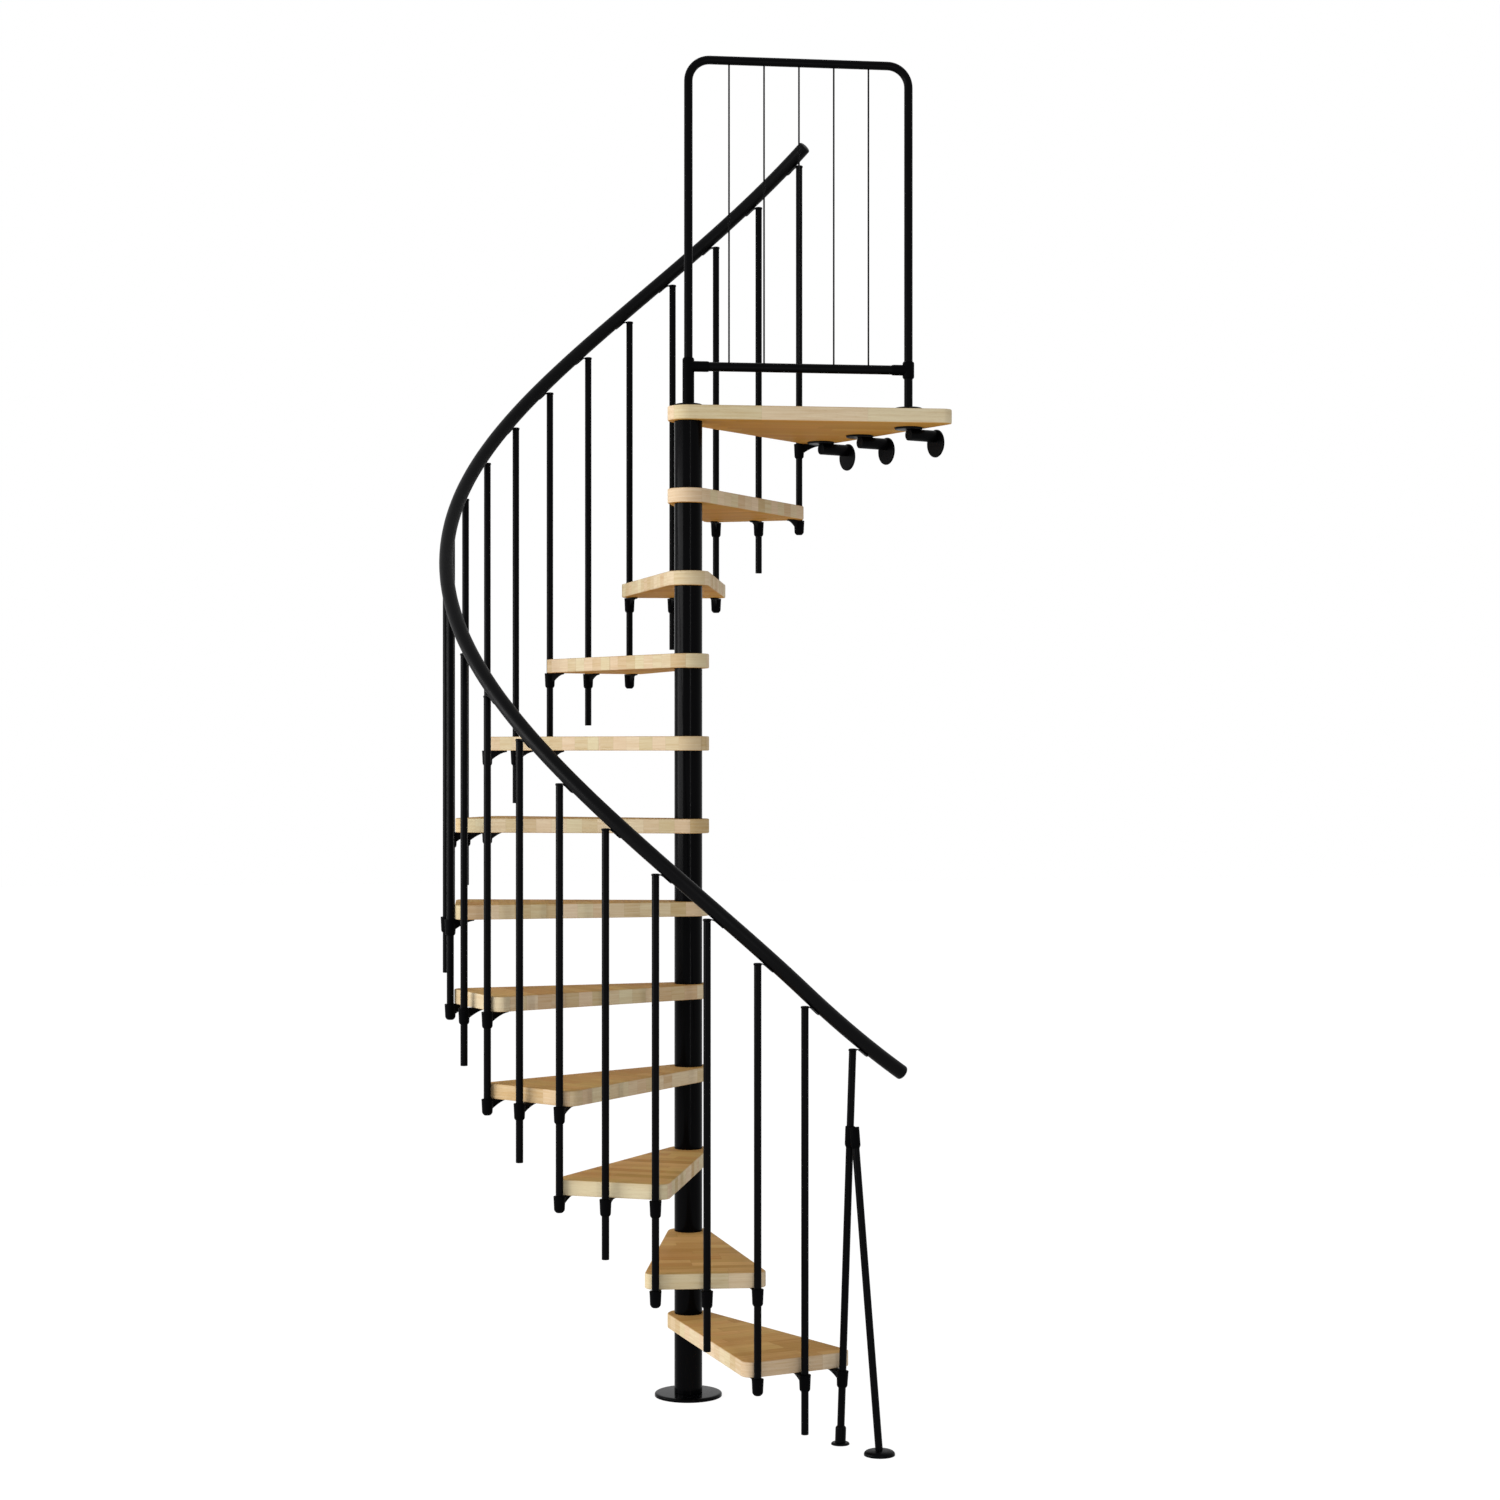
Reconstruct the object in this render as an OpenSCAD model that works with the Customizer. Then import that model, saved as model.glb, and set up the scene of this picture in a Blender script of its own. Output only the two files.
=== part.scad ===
// Spiral stair on a central column, climbing clockwise to a wedge-shaped landing.
// Millimetres, +Z up. The origin is on the column axis, on the floor under the base flange.
// +X runs along the landing's guarded edge, from the column towards the wall.

/* [Stair] */
// Height of one step
riser = 230; // [200:1:245]
// Number of treads below the landing
tread_count = 11; // [9:1:12]
// Turn from one tread to the next, degrees
tread_turn = 22.5; // [20:0.5:25]
// Direction of the first tread's centre line, degrees
first_tread_at = -70; // [-75:1:-60]

/* [Column] */
// Outside diameter of the column tubes
column_d = 78; // [70:1:90]
// Wall of the column tubes
column_wall = 3; // [2:0.5:6]
// Diameter of the tie rod inside the column
tie_rod_d = 24; // [16:1:30]
// Clearance of the tie rod in the boards
tie_rod_clearance = 0.25; // [0.2:0.05:0.45]
// Diameter of the base flange
flange_d = 188; // [150:1:240]
// Thickness of the base flange
flange_t = 10; // [6:1:16]
// Radius of the base flange's upper edge
flange_edge_r = 4; // [1:0.5:5]

/* [Treads] */
// Thickness of the boards
tread_t = 40; // [30:1:50]
// Radius of a board's inner end, round the column
tread_inner_r = 58; // [50:1:64]
// Width of a tread along its outer edge, between its corners before rounding
tread_w = 322; // [300:1:345]
// Radius of the boards' outer corners
tread_corner_r = 30; // [10:1:45]
// Distance from a tread's outer edge out to the circle of balusters
tread_setback = 25; // [24:1:32]

/* [Balusters] */
// Radius of the circle of balusters
baluster_ring_r = 672; // [640:1:720]
// Diameter of a baluster
baluster_d = 19.5; // [14:0.5:20]
// Length of a baluster
baluster_len = 1100; // [1000:5:1200]

/* [Brackets] */
// Outside diameter of a bracket's sleeve
sleeve_d = 28; // [25:1:32]
// Length of a bracket's sleeve, down from the board's underside
sleeve_len = 43; // [34:1:50]
// Closed end under a baluster that stands in its bracket
sleeve_floor = 3; // [2:0.5:5]
// Bevel at the lower end of a sleeve that a baluster passes through
sleeve_bevel = 3; // [1:0.5:4]
// Bevel at the lower end of a closed sleeve
closed_bevel = 7; // [2:0.5:7]
// Clearance of a post or tube in its sleeve, all round
sleeve_clearance = 0.2; // [0.1:0.05:0.5]
// Diameter of the collar at a sleeve's upper end
collar_d = 32; // [30:1:36]
// Height of the collar
collar_h = 5; // [3:0.5:8]
// Reach of a bracket's arm, inwards from the baluster's axis
arm_len = 66; // [55:1:80]
// Width of the arm's plate under the board
arm_plate_w = 24; // [18:1:26]
// Thickness of the arm's plate
arm_plate_t = 4; // [3:0.5:6]
// Width of the arm's rib
arm_rib_w = 9; // [5:1:14]
// Depth of the arm's rib where it meets the sleeve
arm_rib_h = 26; // [15:1:30]

/* [Handrail] */
// Diameter of the handrail
handrail_d = 40; // [32:1:50]
// Clear height from a baluster's top to the handrail's underside
handrail_gap = 18; // [12:1:24]
// Length of handrail past the last baluster, measured round the stair
handrail_head = 16; // [10:1:60]
// Length of the handrail's straight foot in plan, from the first middle baluster
handrail_foot = 290; // [240:1:340]
// Slope at the very end of the handrail's foot, degrees
handrail_foot_slope = 34; // [28:1:40]
// Length of a domed end cap
end_cap_len = 7; // [4:1:12]
// Straight part of an end cap, next to the handrail
end_cap_edge = 1; // [0.5:0.25:2]
// Diameter of the cap on a baluster's top
saddle_cap_d = 22; // [21:1:28]
// Height of the cap on a baluster's top
saddle_cap_h = 6; // [5:0.5:8]
// Height of the cap that stands above a saddle's plate
saddle_lip = 1; // [0.5:0.25:1.5]
// Thickness of a saddle's plate
saddle_t = 3; // [2:0.5:3.5]
// Width of a saddle's plate
saddle_w = 14; // [8:1:18]
// Length of the plate along the handrail's underside
saddle_plate_len = 36; // [20:1:50]
// Gap between a saddle's plate and the handrail
saddle_gap = 0.2; // [0.1:0.05:0.4]

/* [Newel and brace] */
// Distance in plan from the first middle baluster to the newel's top
newel_reach = 142; // [125:1:160]
// Distance of the newel's foot outside the circle of balusters
newel_foot_out = 14; // [0:1:40]
// Direction of the newel's foot, degrees
newel_foot_at = -61.5; // [-64:0.25:-59]
// Diameter of the newel's foot plate
newel_plate_d = 48; // [40:1:70]
// Length of the newel's foot socket
newel_socket_len = 45; // [30:1:60]
// Height of the clamp that joins the brace to the newel
clamp_z = 795; // [650:5:850]
// Length of the clamp
clamp_len = 56; // [40:1:80]
// Outside diameter of the clamp's barrels
clamp_d = 26; // [24:1:32]
// Distance between the clamp's two barrels
clamp_pitch = 21; // [21:0.5:24]
// Distance of the brace's foot from the column axis, beyond the newel's foot
brace_reach = 148; // [100:1:200]
// Direction of the brace's foot, degrees
brace_foot_at = -60.75; // [-64:0.25:-58]
// Diameter of the brace's foot plate
brace_plate_d = 80; // [60:1:100]
// Height of the brace's domed foot plate
brace_plate_t = 14; // [12:0.5:20]
// Width of the dome's curved rim
brace_dome_w = 28; // [15:1:29]
// Height of the dome's curved rim
brace_dome_h = 11; // [4:0.5:11.5]
// Thickness of the newel's foot plate
foot_plate_t = 6; // [5:0.5:10]
// Radius of the newel foot plate's upper edge
foot_edge_r = 4; // [1:0.5:4.5]

/* [Landing] */
// Length of the landing's guarded edge beyond the circle of balusters, to its corner before rounding
landing_reach = 88; // [70:1:120]
// Turn of the landing's outer edge from square to the guarded edge, degrees
landing_skew = 24.5; // [20:0.5:30]
// Distance of the last baluster's axis from the landing's back edge
landing_setback = 11; // [10:0.5:16]
// Direction of the arm of the landing's bracket, degrees
landing_arm_at = 0; // [-5:1:10]

/* [Landing rail] */
// Distance of the rail's outer post from the landing's corner
rail_inset = 135; // [115:1:170]
// Height of the rail's top bar above the landing
rail_h = 970; // [900:5:1050]
// Diameter of the bent rail tube
rail_tube_d = 24; // [20:1:30]
// Bend radius of the rail tube
rail_bend_r = 60; // [50:1:90]
// Height of the bottom bar above the landing
rail_bar_z = 113; // [95:1:150]
// Diameter of the bottom bar
rail_bar_d = 26; // [20:1:28]
// Outside diameter of the tee fittings
tee_d = 33; // [32:1:40]
// Wall of a tee's socket for the bottom bar
tee_wall = 2; // [1.5:0.25:3]
// Reach of the inner tee's socket from the post's axis
inner_tee_reach = 58; // [40:1:70]
// Reach of the outer tee's socket from the post's axis
outer_tee_reach = 48; // [40:1:60]
// Half height of a tee on the outer post
tee_half_h = 24; // [20:1:30]
// Number of upright rods
rail_rod_count = 5; // [3:1:7]
// Distance from a post to the nearest rod
rail_rod_end = 114.5; // [85:0.5:130]
// Diameter of a rod
rail_rod_d = 5; // [3:0.5:8]
// Diameter of the post flanges
rail_flange_d = 82; // [60:1:100]
// Thickness of the post flanges
rail_flange_t = 8; // [5:1:12]

/* [Wall brackets] */
// Distance of the first wall bracket from the landing's front corner, along the outer edge
wall_bracket_first = 168; // [120:1:180]
// Distance of the second from the first
wall_bracket_second = 245; // [150:1:250]
// Distance of the third from the second
wall_bracket_third = 204; // [150:1:206]
// Distance of the wall from the landing's outer edge
wall_gap = 42; // [20:1:48]
// Diameter of the brackets' plates
wall_plate_d = 80; // [60:1:100]
// Thickness of the brackets' plates
wall_plate_t = 6; // [4:0.5:10]
// Diameter of a bracket's tube
wall_tube_d = 34; // [26:1:42]
// Length of a bracket's tube
wall_tube_len = 98; // [92:1:120]
// Depth that a bracket's tube is let into its upper plate
wall_tube_seat = 3; // [1:0.5:3.5]
// Drop of the wall plate's centre below the tube's axis
wall_plate_drop = 20; // [0:1:22]

/* [Hidden] */
$fn = 64;
black = "#141416";
pale_wood = "#c9a877";

// Sides of the swept tubes and lengths of their rings
handrail_sides = 12;
rail_sides = 16;
rings_per_baluster = 3;
foot_rings = 8;
bend_rings = 6;
corner_steps = 10;
inner_steps = 28;
rib_steps = 6;
dome_steps = 6;
// Turn of a leaning round piece about its own axis, degrees
seam_turn = 40;
// Height of a leaning post's lower end above its foot plate
post_end_gap = 2;
post_from = foot_plate_t + post_end_gap;

half_turn = tread_turn / 2;
half_rise = riser / 2;
last_baluster = 2 * tread_count;
landing_top = riser * (tread_count + 1);
landing_under = landing_top - tread_t;
sleeve_bore_d = baluster_d + 2 * sleeve_clearance;
tread_edge_x = baluster_ring_r - tread_setback;
rod_hole_d = tie_rod_d + 2 * tie_rod_clearance;

// Helix of the handrail: slope, radius of its flats and height over a baluster's top
handrail_slope = atan(half_rise / (baluster_ring_r * half_turn * PI / 180));
handrail_flat_r = handrail_d / 2 * cos(180 / handrail_sides);
handrail_lift = handrail_gap + handrail_flat_r / cos(handrail_slope);

function unit(v) = v / norm(v);
function polar(r, a, z) = [r * cos(a), r * sin(a), z];
function two_digits(n) = n < 10 ? str("0", n) : str(n);
function tread_name(n) = str("tread_", two_digits(n));
function tube_name(n) = str("column_tube_", two_digits(n));

// Direction of tread n, and of baluster k counted from the newel
function tread_at(n) = first_tread_at - tread_turn * (n - 1);
function baluster_at(k) = first_tread_at + half_turn - half_turn * k;
function baluster_top(k) = baluster_len - tread_t - sleeve_len + sleeve_floor + k * half_rise;
function board_under(n) = riser * n - tread_t;

// Angle brought into half a turn either way
function wrapped(a) = a - 360 * round(a / 360);

// Arc that rounds corner p between its neighbours a and b
function corner_arc(a, p, b, r, steps) =
    let (
        u = unit(a - p),
        v = unit(b - p),
        half = acos(u * v) / 2,
        centre = p + unit(u + v) * r / sin(half),
        from = p + u * r / tan(half) - centre,
        to = p + v * r / tan(half) - centre,
        start = atan2(from.y, from.x),
        turn = wrapped(atan2(to.y, to.x) - start)
    )
    [for (i = [0:steps]) centre + r * [cos(start + turn * i / steps), sin(start + turn * i / steps)]];

// Wedge-shaped board: an inner end round the column and two outer corners
function wedge_outline(apex, right, left) = concat(
    corner_arc(left, apex, right, tread_inner_r, inner_steps),
    corner_arc(apex, right, left, tread_corner_r, corner_steps),
    corner_arc(right, left, apex, tread_corner_r, corner_steps)
);

// Half the angle between a tread's two sides, which are tangents of its inner end
tread_half_taper = atan2(tread_w / 2, tread_edge_x) - asin(tread_inner_r / norm([tread_edge_x, tread_w / 2]));

// Landing: a skewed outer edge, and a back edge that passes inside the last baluster
landing_len = baluster_ring_r + landing_reach;
landing_front = [landing_len, -tread_inner_r];
landing_out = [cos(landing_skew), sin(landing_skew)];
landing_along = [-landing_out.y, landing_out.x];
last_at = baluster_at(last_baluster);
landing_taper = last_at - asin((tread_inner_r + landing_setback) / baluster_ring_r);
landing_apex = [-tread_inner_r / tan(landing_taper / 2), -tread_inner_r];
landing_back_dir = [cos(landing_taper), sin(landing_taper)];
landing_back = landing_apex
    + landing_back_dir * ((landing_front - landing_apex) * landing_out) / (landing_back_dir * landing_out);

// Centre line of the handrail: a helix over the balusters, then a straight foot that eases out
function helix_point(k) = polar(baluster_ring_r, baluster_at(k), baluster_top(k) + handrail_lift);
foot_start = helix_point(1);
foot_dir = [-sin(baluster_at(1)), cos(baluster_at(1)), 0];
foot_ease = (tan(handrail_slope) - tan(handrail_foot_slope)) / (2 * handrail_foot);
function foot_point(s) = foot_start + foot_dir * s - [0, 0, tan(handrail_slope) * s - foot_ease * s * s];
handrail_head_k = last_baluster + handrail_head / (baluster_ring_r * half_turn * PI / 180);
handrail_rings = ceil((handrail_head_k - 1) * rings_per_baluster);
handrail_path = concat(
    [for (i = [0:handrail_rings]) helix_point(handrail_head_k + (1 - handrail_head_k) * i / handrail_rings)],
    [for (i = [1:foot_rings]) foot_point(handrail_foot * i / foot_rings)]
);

// Newel and brace lines
newel_top = foot_point(newel_reach) - [0, 0, handrail_lift];
newel_foot_r = baluster_ring_r + newel_foot_out;
newel_foot_point = polar(newel_foot_r, newel_foot_at, 0);
newel_dir = unit(newel_top - newel_foot_point);
newel_trim = baluster_d / 2 * tan(acos(newel_dir.z));
function newel_point(z) = newel_foot_point + newel_dir * (z / newel_dir.z);
brace_foot_point = polar(newel_foot_r + brace_reach, brace_foot_at, 0);
brace_out = unit([brace_foot_point.x, brace_foot_point.y, 0]);
brace_top = newel_point(clamp_z) + brace_out * clamp_pitch;
brace_dir = unit(brace_top - brace_foot_point);

// Landing rail, in the plane y = 0
rail_w = landing_len - rail_inset;
rail_top_z = landing_top + rail_h;
rail_foot_z = landing_top + rail_flange_t;
rail_bar_axis_z = landing_top + rail_bar_z;
rail_flat_r = rail_tube_d / 2 * cos(180 / rail_sides);
rail_path = concat(
    [[0, 0, rail_foot_z]],
    [for (i = [0:bend_rings]) let (a = 90 * i / bend_rings)
        [rail_bend_r * (1 - cos(a)), 0, rail_top_z - rail_bend_r * (1 - sin(a))]],
    [for (i = [0:bend_rings]) let (a = 90 * i / bend_rings)
        [rail_w - rail_bend_r * (1 - sin(a)), 0, rail_top_z - rail_bend_r * (1 - cos(a))]],
    [[rail_w, 0, rail_foot_z]]
);

// Helpers

// Stands a round piece at p along dir; its seam is turned off the long axis of the ovals it makes
module along(p, dir) {
    translate(p)
        rotate([0, acos(dir.z), atan2(dir.y, dir.x)])
            rotate(seam_turn)
                children();
}

module ring_tube(d, bore, h) {
    difference() {
        cylinder(d = d, h = h);
        translate([0, 0, -1])
            cylinder(d = bore, h = h + 2);
    }
}

// Tube of flat facets round a path; side is the plane's normal, or level where none is given
module swept_tube(path, d, sides, side = undef) {
    last = len(path) - 1;
    rings = [for (i = [0:last])
        let (
            t = unit(path[min(i + 1, last)] - path[max(i - 1, 0)]),
            across = is_undef(side) ? unit(cross(t, [0, 0, 1])) : side,
            up = cross(across, t)
        )
        each [for (j = [0:sides - 1]) let (a = 360 * (j + 0.5) / sides)
            path[i] + d / 2 * (cos(a) * across + sin(a) * up)]];
    walls = [for (i = [0:last - 1], j = [0:sides - 1])
        let (a = i * sides + j, b = i * sides + (j + 1) % sides)
        each [[a, b, b + sides], [a, b + sides, a + sides]]];
    polyhedron(
        points = rings,
        faces = concat(
            [[for (j = [sides - 1:-1:0]) j]],
            [[for (j = [0:sides - 1]) last * sides + j]],
            walls
        )
    );
}

// Round plate whose upper rim curves down over the given width and height
module round_plate(d, t, rim_w, rim_h) {
    rotate_extrude()
        polygon(concat(
            [[0, 0], [d / 2, 0]],
            [for (i = [0:dome_steps]) let (a = 90 * i / dome_steps)
                [d / 2 - rim_w * (1 - cos(a)), t - rim_h * (1 - sin(a))]],
            [[0, t]]
        ));
}

module board(outline) {
    difference() {
        linear_extrude(tread_t)
            polygon(outline);
        translate([0, 0, -1])
            cylinder(d = rod_hole_d, h = tread_t + 2);
    }
}

// Sleeve that hangs below z = 0, with a collar and a bevelled lower end
module sleeve_body(bevel) {
    rotate_extrude()
        polygon([
            [0, 0],
            [collar_d / 2, 0],
            [collar_d / 2, -collar_h],
            [sleeve_d / 2, -collar_h],
            [sleeve_d / 2, bevel - sleeve_len],
            [sleeve_d / 2 - bevel, -sleeve_len],
            [0, -sleeve_len]
        ]);
}

// Bore of a sleeve, which stops above a closed end of the given thickness
module sleeve_bore(floor) {
    from = floor > 0 ? floor - sleeve_len : -sleeve_len - 1;
    translate([0, 0, from])
        cylinder(d = sleeve_bore_d, h = 1 - from);
}

// Plate under a board and a rib with a hollow-curved underside, reaching in from the sleeve
module bracket_arm() {
    translate([-arm_len, -arm_plate_w / 2, -arm_plate_t])
        cube([arm_len, arm_plate_w, arm_plate_t]);
    rotate([90, 0, 0])
        translate([0, 0, -arm_rib_w / 2])
            linear_extrude(arm_rib_w)
                polygon(concat(
                    [[0, 0], [-arm_len, 0]],
                    [for (i = [0:rib_steps]) let (u = i / rib_steps, reach = arm_len - sleeve_d / 2)
                        [-arm_len + reach * u, -arm_plate_t - (arm_rib_h - arm_plate_t) * u * u]],
                    [[0, -arm_rib_h]]
                ));
}

module bracket(floor) {
    difference() {
        union() {
            sleeve_body(floor > 0 ? closed_bevel : sleeve_bevel);
            bracket_arm();
        }
        sleeve_bore(floor);
    }
}

module at_baluster(k, z) {
    rotate(baluster_at(k))
        translate([baluster_ring_r, 0, z])
            children();
}

module baluster(k) {
    at_baluster(k, baluster_top(k) - baluster_len)
        cylinder(d = baluster_d, h = baluster_len);
}

// Cap on a post's top with a bent plate: a level tab down the slope, then along the handrail's underside.
// The local frame has +X level and downhill; slope is the handrail's there.
module saddle(slope) {
    tab_top = saddle_cap_h - saddle_lip;
    bend = [(handrail_gap - tab_top) / tan(slope) - saddle_gap / sin(slope), tab_top];
    tip = bend + saddle_plate_len * [cos(slope), -sin(slope)];
    union() {
        cylinder(d = saddle_cap_d, h = saddle_cap_h);
        translate([0, saddle_w / 2, 0])
            rotate([90, 0, 0])
                linear_extrude(saddle_w)
                    polygon([
                        [0, tab_top],
                        bend,
                        tip,
                        tip - saddle_t * [sin(slope), cos(slope)],
                        bend - saddle_t * [tan(slope / 2), 1],
                        [0, tab_top - saddle_t]
                    ]);
    }
}

// Sub-parts

module floor_flange() {
    color(black)
        round_plate(flange_d, flange_t, flange_edge_r, flange_edge_r);
}

module column_tube(n) {
    from = n == 1 ? flange_t : riser * (n - 1);
    color(black)
        translate([0, 0, from])
            ring_tube(column_d, column_d - 2 * column_wall, board_under(n) - from);
}

module centre_rod() {
    color("silver")
        translate([0, 0, flange_t])
            cylinder(d = tie_rod_d, h = landing_top - flange_t);
}

module tread(n) {
    apex = [-tread_inner_r / sin(tread_half_taper), 0];
    corner = [tread_edge_x, tread_w / 2];
    color(pale_wood)
        rotate(tread_at(n))
            translate([0, 0, board_under(n)])
                board(wedge_outline(apex, [corner.x, -corner.y], corner));
}

module landing() {
    color(pale_wood)
        translate([0, 0, landing_under])
            board(wedge_outline(landing_apex, landing_front, landing_back));
}

module handrail() {
    color(black)
        swept_tube(handrail_path, handrail_d, handrail_sides);
}

module end_cap() {
    round_plate(2 * handrail_flat_r, end_cap_len, end_cap_len, end_cap_len - end_cap_edge);
}

module handrail_end_caps() {
    last = len(handrail_path) - 1;
    color(black) {
        along(handrail_path[0], unit(handrail_path[0] - handrail_path[1]))
            end_cap();
        along(handrail_path[last], unit(handrail_path[last] - handrail_path[last - 1]))
            end_cap();
    }
}

module handrail_saddles() {
    newel_slope = atan(tan(handrail_slope) - 2 * foot_ease * newel_reach);
    color(black) {
        for (k = [1:last_baluster])
            at_baluster(k, baluster_top(k))
                rotate(90)
                    saddle(handrail_slope);
        translate(newel_top)
            rotate(atan2(foot_dir.y, foot_dir.x))
                saddle(newel_slope);
    }
}

module link_balusters() {
    color(black)
        for (n = [1:tread_count])
            baluster(2 * n);
}

module mid_balusters() {
    color(black)
        for (n = [1:tread_count])
            baluster(2 * n - 1);
}

// Brackets that a baluster passes through at the front end of each board above the first: the first
// tread's holds the leaning newel, and the landing's has its arm turned away from the wall brackets
module nosing_brackets() {
    newel_at_tread = newel_point(board_under(1));
    lean_at = atan2(newel_at_tread.y, newel_at_tread.x);
    color(black) {
        for (n = [2:tread_count])
            at_baluster(2 * n - 2, board_under(n))
                bracket(0);
        translate(polar(baluster_ring_r, last_at, landing_under))
            rotate(landing_arm_at + 180)
                bracket(0);
        difference() {
            union() {
                along(newel_at_tread, newel_dir)
                    sleeve_body(sleeve_bevel);
                translate(newel_at_tread)
                    rotate(lean_at)
                        bracket_arm();
            }
            along(newel_at_tread, newel_dir)
                sleeve_bore(0);
        }
    }
}

module mid_brackets() {
    color(black)
        for (n = [1:tread_count])
            at_baluster(2 * n - 1, board_under(n))
                bracket(0);
}

module rear_brackets() {
    color(black)
        for (n = [1:tread_count])
            at_baluster(2 * n, board_under(n))
                bracket(sleeve_floor);
}

module newel_post() {
    color(black)
        along(newel_foot_point + newel_dir * post_from, newel_dir)
            cylinder(d = baluster_d, h = norm(newel_top - newel_foot_point) - newel_trim - post_from);
}

// Floor plate with a leaning socket for the newel's end
module newel_foot() {
    color(black)
        difference() {
            union() {
                translate(newel_foot_point)
                    round_plate(newel_plate_d, foot_plate_t, foot_edge_r, foot_edge_r);
                along(newel_foot_point + newel_dir * foot_plate_t / 2, newel_dir)
                    cylinder(d = sleeve_d, h = newel_socket_len);
            }
            along(newel_foot_point + newel_dir * post_from, newel_dir)
                cylinder(d = sleeve_bore_d, h = newel_socket_len);
        }
}

module brace_strut() {
    color(black)
        along(brace_foot_point + brace_dir * post_from, brace_dir)
            cylinder(d = baluster_d, h = norm(brace_top - brace_foot_point) - post_from);
}

module brace_clamp() {
    color(black)
        difference() {
            union() {
                along(newel_point(clamp_z) - newel_dir * clamp_len / 2, newel_dir)
                    cylinder(d = clamp_d, h = clamp_len);
                along(brace_top - brace_dir * clamp_len / 2, brace_dir)
                    cylinder(d = clamp_d, h = clamp_len);
            }
            along(newel_foot_point, newel_dir)
                cylinder(d = sleeve_bore_d, h = 2 * clamp_z);
            along(brace_foot_point, brace_dir)
                cylinder(d = sleeve_bore_d, h = norm(brace_top - brace_foot_point));
        }
}

// Domed floor plate that the brace's end is let into
module brace_foot() {
    color(black)
        difference() {
            translate(brace_foot_point)
                round_plate(brace_plate_d, brace_plate_t, brace_dome_w, brace_dome_h);
            along(brace_foot_point + brace_dir * post_from, brace_dir)
                cylinder(d = sleeve_bore_d, h = brace_plate_t);
        }
}

module rail_frame() {
    color(black)
        swept_tube(rail_path, rail_tube_d, rail_sides, [0, 1, 0]);
}

module rail_bottom_bar() {
    from = rail_tube_d / 2 + sleeve_clearance;
    color(black)
        translate([from, 0, rail_bar_axis_z])
            rotate([0, 90, 0])
                cylinder(d = rail_bar_d, h = rail_w - 2 * from);
}

// Tee round a post, with a socket for the bottom bar; below and above are its ends on the post
module tee(below, above, reach, inward) {
    difference() {
        union() {
            translate([0, 0, -below])
                cylinder(d = tee_d, h = below + above);
            rotate([0, inward * 90, 0])
                cylinder(d = rail_bar_d + 2 * tee_wall, h = reach);
        }
        translate([0, 0, -below - 1])
            cylinder(d = rail_tube_d + 2 * sleeve_clearance, h = below + above + 2);
        rotate([0, inward * 90, 0])
            cylinder(d = rail_bar_d + 2 * sleeve_clearance, h = reach + 1);
    }
}

module rail_tees() {
    color(black) {
        translate([0, 0, rail_bar_axis_z])
            tee(rail_bar_axis_z - rail_foot_z, tee_half_h, inner_tee_reach, 1);
        translate([rail_w, 0, rail_bar_axis_z])
            tee(tee_half_h, tee_half_h, outer_tee_reach, -1);
    }
}

module rail_rods() {
    pitch = (rail_w - 2 * rail_rod_end) / (rail_rod_count - 1);
    from = rail_bar_axis_z + rail_bar_d / 2;
    color(black)
        for (i = [0:rail_rod_count - 1])
            translate([rail_rod_end + pitch * i, 0, from])
                cylinder(d = rail_rod_d, h = rail_top_z - rail_flat_r - from);
}

module rail_flanges() {
    color(black)
        for (x = [0, rail_w])
            translate([x, 0, landing_top])
                cylinder(d = rail_flange_d, h = rail_flange_t);
}

// Plate under the landing, tube out towards the wall and plate on the wall; +X faces the wall
module wall_bracket() {
    tube_z = wall_tube_seat - wall_plate_t - wall_tube_d / 2;
    translate([-wall_tube_len, 0, -wall_plate_t])
        cylinder(d = wall_plate_d, h = wall_plate_t);
    translate([-wall_tube_len, 0, tube_z])
        rotate([0, 90, 0])
            cylinder(d = wall_tube_d, h = wall_tube_len - wall_plate_t / 2);
    translate([-wall_plate_t, 0, tube_z - wall_plate_drop])
        rotate([0, 90, 0])
            cylinder(d = wall_plate_d, h = wall_plate_t);
}

module wall_brackets() {
    places = [
        wall_bracket_first,
        wall_bracket_first + wall_bracket_second,
        wall_bracket_first + wall_bracket_second + wall_bracket_third
    ];
    color(black)
        for (s = places) {
            at_wall = landing_front + landing_along * s + landing_out * wall_gap;
            translate([at_wall.x, at_wall.y, landing_under])
                rotate(atan2(landing_out.y, landing_out.x))
                    wall_bracket();
        }
}

floor_flange();
for (n = [1:tread_count + 1])
    column_tube(n);
centre_rod();
for (n = [1:tread_count])
    tread(n);
landing();
handrail();
handrail_end_caps();
handrail_saddles();
link_balusters();
mid_balusters();
nosing_brackets();
mid_brackets();
rear_brackets();
newel_post();
newel_foot();
brace_strut();
brace_clamp();
brace_foot();
rail_frame();
rail_bottom_bar();
rail_tees();
rail_rods();
rail_flanges();
wall_brackets();
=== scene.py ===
import logging
import math
from dataclasses import dataclass, field
from enum import Enum
from typing import Any, Sequence

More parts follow.
